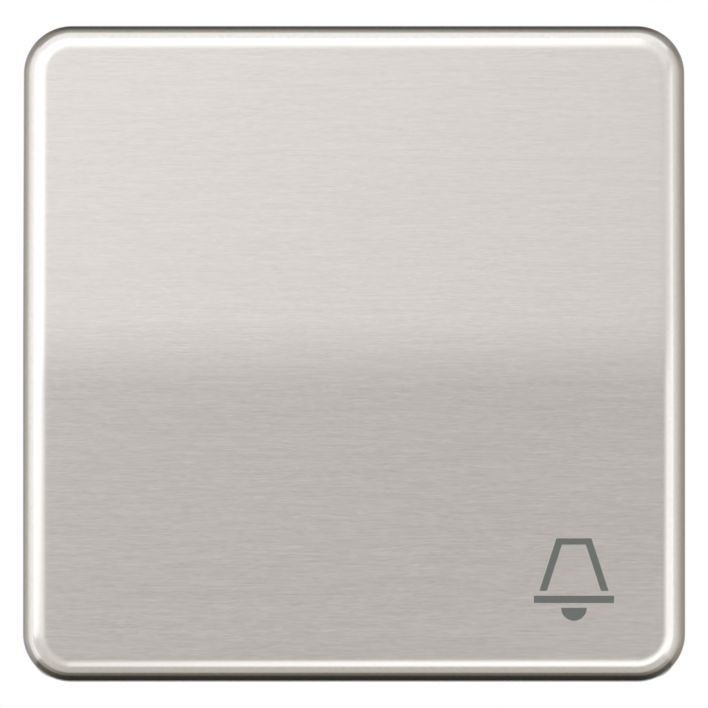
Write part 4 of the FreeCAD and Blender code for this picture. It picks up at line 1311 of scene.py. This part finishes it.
def set_up(name: str, grid: np.ndarray, tone: Tone) -> bpy.types.Object:
    """Put up a card that only reflections see, as round polished metal in a studio.

    Its map gives each point of the grid the share of its column and of its row.

    Args:
        name: The card's name.
        grid: Its points in rows and columns.
        tone: Its tone.

    Returns:
        The card.
    """
    skin = Skin()
    skin.add(grid)
    mesh = skin.mesh(name)
    rows, columns = grid.shape[:2]
    shares = np.stack(np.meshgrid(np.linspace(0, 1, columns), np.linspace(0, 1, rows)), -1)
    corners = read(mesh.loops, "vertex_index", 1, np.int32)[:, 0]
    card_map = mesh.uv_layers.new(name="card")
    card_map.uv.foreach_set("vector", shares.reshape(-1, 2)[corners].ravel())
    mesh.materials.append(tone.make(name))
    made = add_object(name, mesh)
    made.visible_camera = False
    made.visible_diffuse = False
    made.visible_shadow = False
    return made


@dataclass(frozen=True)
class Card:
    """A flat, upright card ahead of the button, behind the camera."""

    name: str
    distance: float
    left: float
    right: float
    foot: float
    top: float
    tone: Tone

    def build(self) -> bpy.types.Object:
        """Build the card as an even grid between its edges.

        Returns:
            The card.
        """
        across, upwards = np.linspace(self.left, self.right, 3), np.linspace(self.foot, self.top, 3)
        x, z = np.meshgrid(across, upwards)
        grid = np.stack([x, np.full_like(x, -self.distance), z], -1)
        return set_up(self.name, grid, self.tone)


@dataclass(frozen=True)
class Sweep:
    """A curved card on a sphere round the button, beside, above, below or behind it.

    It goes from the first to the last compass direction, measured from up towards the
    right, and from the start to the end of the tilt, measured from straight ahead of the
    button. The skew is how much more both tilts are at its last edge than at its first. Its
    tone changes evenly with the tilt.
    """

    name: str
    first: float
    last: float
    start: float
    end: float
    tone: Tone
    distance: float = 1.15
    skew: float = 0.0

    def build(self) -> bpy.types.Object:
        """Build the card: the distance times the direction of each tilt and compass.

        Returns:
            The card.
        """
        share = np.linspace(0, 1, 17)[None, :]
        tilt = np.radians(np.linspace(self.start, self.end, 13)[:, None] + self.skew * share)
        compass = np.radians(self.first + (self.last - self.first) * share)
        grid = self.distance * np.stack(
            [np.sin(tilt) * np.sin(compass), -np.cos(tilt), np.sin(tilt) * np.cos(compass)], -1
        )
        return set_up(self.name, grid, self.tone)


@dataclass(frozen=True)
class Studio:
    """Pale floor, white surroundings, soft boxes, cards and the camera."""

    ambient: float = 0.6
    floor_height: float = -1.5
    floor_radius: float = 3.5
    floor_roughness: float = 0.9
    floor_glow: float = 0.75
    fibre: float = 2.0 * MM
    camera_distance: float = 0.75
    camera_rise: float = -2.0
    view_width: float = 70.42 * MM
    sensor: float = 36.0
    face_level: float = 10.4 * MM
    target_x: float = -0.008 * MM
    target_z: float = -0.15 * MM

    def world(self) -> None:
        """Make the surroundings: white to the eye and to mirrors, plain grey as a light."""
        world = bpy.data.worlds.new("studio")
        bpy.context.scene.world = world
        world.use_nodes = True
        tree = world.node_tree
        tree.nodes.clear()
        light = add_node(tree, "ShaderNodeBackground", {"in:Strength": self.ambient})
        white = add_node(tree, "ShaderNodeBackground", {"in:Strength": 1.0})
        for background in (light, white):
            background.inputs["Color"].default_value = (1.0, 1.0, 1.0, 1.0)
        links = {0: self.seen(tree), 1: light.outputs[0], 2: white.outputs[0]}
        mix = add_node(tree, "ShaderNodeMixShader", links=links)
        add_node(tree, "ShaderNodeOutputWorld", links={"Surface": mix.outputs[0]})

    @staticmethod
    def seen(tree: bpy.types.NodeTree) -> bpy.types.NodeSocket:
        """Make a value that is one for the camera's, mirrors' and glass's rays, else nought.

        Args:
            tree: The node tree that takes the nodes.

        Returns:
            The value's socket: the greatest of the three kinds of ray.
        """
        path = add_node(tree, "ShaderNodeLightPath")
        seen = path.outputs["Is Camera Ray"]
        for name in ("Is Glossy Ray", "Is Transmission Ray"):
            links = {0: seen, 1: path.outputs[name]}
            seen = add_node(tree, "ShaderNodeMath", {"operation": "MAXIMUM"}, links).outputs[0]
        return seen

    def floor(self) -> None:
        """Lay a pale disc below the button that keeps its shadow.

        Its points lie on circles about the middle, with radii that grow evenly. Seen
        directly or in a mirror it is mostly the backdrop's white, so that no hard line
        parts the two.
        """
        turn = np.linspace(0, 2 * math.pi, 96, endpoint=False)[None, :]
        radius = np.linspace(0.0, self.floor_radius, 9)[:, None]
        x, z = radius * np.cos(turn), radius * np.sin(turn)
        skin = Skin()
        skin.add(np.stack([x, z, np.full_like(x, self.floor_height)], -1)[::-1], around=True)
        mesh = skin.mesh("floor")
        material, tree, shader = new_material("FloorPaperMatt")
        fibres = pattern(tree, (self.fibre, self.fibre, self.fibre), 4.0)
        colour = shade(tree, fibres, "#F1F0EE", "#F5F4F2")
        tree.links.new(colour, shader.inputs[Socket.COLOUR.value])
        shader.inputs[Socket.ROUGH.value].default_value = self.floor_roughness
        settings = {"operation": "MULTIPLY", "in:1": self.floor_glow}
        share = add_node(tree, "ShaderNodeMath", settings, {0: self.seen(tree)})
        glow = add_node(tree, "ShaderNodeEmission", {"in:Color": srgb("#FAFAF9")})
        links = {0: share.outputs[0], 1: shader.outputs[0], 2: glow.outputs[0]}
        mix = add_node(tree, "ShaderNodeMixShader", links=links)
        tree.links.new(mix.outputs[0], tree.get_output_node("ALL").inputs["Surface"])
        mesh.materials.append(material)
        add_object("floor", mesh)

    def lamps(self) -> None:
        """Hang the soft boxes: one above, one at the left and one behind for the back.

        The two in front hang behind the reflectors, so the polished metal shows those.
        """
        boxes = (
            SoftBox("box_above", 37, -10, 0.45, 0.3, 6.0),
            SoftBox("box_left", 32, -70, 0.3, 0.3, 6.0),
            SoftBox("box_behind", 147, 25, 1.3, 1.0, 1.2, 1.3),
        )
        for box in boxes:
            box.build()

    def cards(self) -> None:
        """Set the cards that the metal mirrors.

        The ones ahead give the face its tones, light above and grey below. The reflectors
        give the bright bands round it, and the cards beside, below and behind them draw the
        rim and the cap's walls.
        """
        white, grey, deeper = "#FFFFFF", "#8D9187", "#88827C"
        rosy, rosier = "#796660", "#6C544C"
        bands = (
            ("card_ahead_low", -0.46, -0.12, (deeper, grey), (rosier, rosy)),
            ("card_ahead", -0.12, 0.12, (grey, white), (rosy, white)),
            ("card_ahead_high", 0.12, 0.55, (white, white), None),
        )
        ahead = [
            Card(name, 1.3, -0.36, 0.3, foot, top, Tone(*left, 1.2, 0.28, right=right))
            for name, foot, top, left, right in bands
        ]
        corner = Tone("#EDEBE9", white, 1.35, beside="#E6E4E1", fades=(0.6, 0))
        right_front = Tone("#B4B1AD", white, 1.3, beside="#C0BEBB", fades=(0.4, 0))
        above_rear = Tone("#C2BEB6", "#605C56", beside="#A09C95")
        above_far = Tone("#585550", "#4C4945", beside="#8F8B85")
        left_rear = Tone("#CDC9C0", "#96938B", beside="#9B978F")
        right_rear = Tone("#B6B1A8", "#8A867F", beside="#87837C")
        below_front = Tone("#C8C4BD", "#C8C4BD", beside="#D6D2CC")
        below = Tone("#7A766F", "#5C5A55", beside="#A8A49C")
        below_rear = Tone("#34322E", "#2C2A27", beside="#625F59")
        around = [
            Sweep("reflector_above", -46, 30, 21, 49, Tone.lit(1.3, "#D6D4D1", (0, 0.4)), 0.8),
            Sweep("reflector_left", -104, -46, 12, 57, Tone.lit(1.3, "#D6D4D0", (0.1, 0)), 0.8),
            Sweep("reflector_below", 140, 198, 14, 38, Tone.lit(1.25, "#CECBC7", (0, 0.3)), 0.6, 2),
            Sweep("reflector_corner", 88, 140, 22, 44, corner, 0.6, -7),
            Sweep("card_above_rear", -48, 48, 81, 112, above_rear, 0.8),
            Sweep("card_above_far", -48, 48, 112, 146, above_far, 0.8),
            Sweep("card_left", -136, -48, 62, 92, Tone("#FFFFFF", "#DAD8D3", 1.1), 0.85),
            Sweep("card_left_rear", -136, -48, 92, 138, left_rear, 0.85),
            Sweep("card_right_front", 60, 132, 12, 49, right_front),
            Sweep("card_right", 48, 136, 51, 92, Tone("#EFECE8", "#B9B5AD"), 0.85),
            Sweep("card_right_rear", 48, 136, 92, 140, right_rear, 0.85),
            Sweep("card_high_right", 28, 60, 10, 60, Tone("#F0EEEC", "#F0EEEC")),
            Sweep("card_low_left", 200, 262, 10, 66, Tone("#DAD7D3", "#DEDBD6")),
            Sweep("card_below_front", 130, 230, 40, 70, below_front, 0.5),
            Sweep("card_below", 130, 230, 70, 90, below, 0.5),
            Sweep("card_below_rear", 130, 230, 90, 136, below_rear, 0.5),
            Sweep("card_behind", 0, 360, 134, 180, Tone("#ADAAA5", "#CFCCC7"), 0.95),
        ]
        for card in ahead + around:
            card.build()

    def camera(self) -> None:
        """Set the camera where the photograph was taken, a little below the button's middle."""
        rise = math.radians(self.camera_rise)
        target = Vector((self.target_x, -self.face_level, self.target_z))
        back = Vector((0.0, -math.cos(rise), math.sin(rise)))
        lens = bpy.data.cameras.new("camera")
        lens.sensor_width = self.sensor
        lens.lens = self.sensor * self.camera_distance / self.view_width
        lens.clip_start, lens.clip_end = 0.01, 20.0
        made = add_object("camera", lens)
        made.location = target + back * self.camera_distance
        made.rotation_euler = (-back).to_track_quat("-Z", "Y").to_euler()
        bpy.context.scene.camera = made

    def build(self) -> None:
        """Set up everything round the button."""
        bpy.context.scene.view_settings.view_transform = "Standard"
        self.world()
        self.floor()
        self.lamps()
        self.cards()
        self.camera()


def main() -> None:
    """Build the button and its studio, and report each piece."""
    logging.basicConfig(level=logging.INFO, format="%(name)s %(message)s")
    for part in (Rocker(), Insert(), SwitchWorks()):
        LOG.info("building %s", type(part).__name__)
        for piece in part.build():
            report(piece)
    Studio().build()


if __name__ == "__main__":
    main()
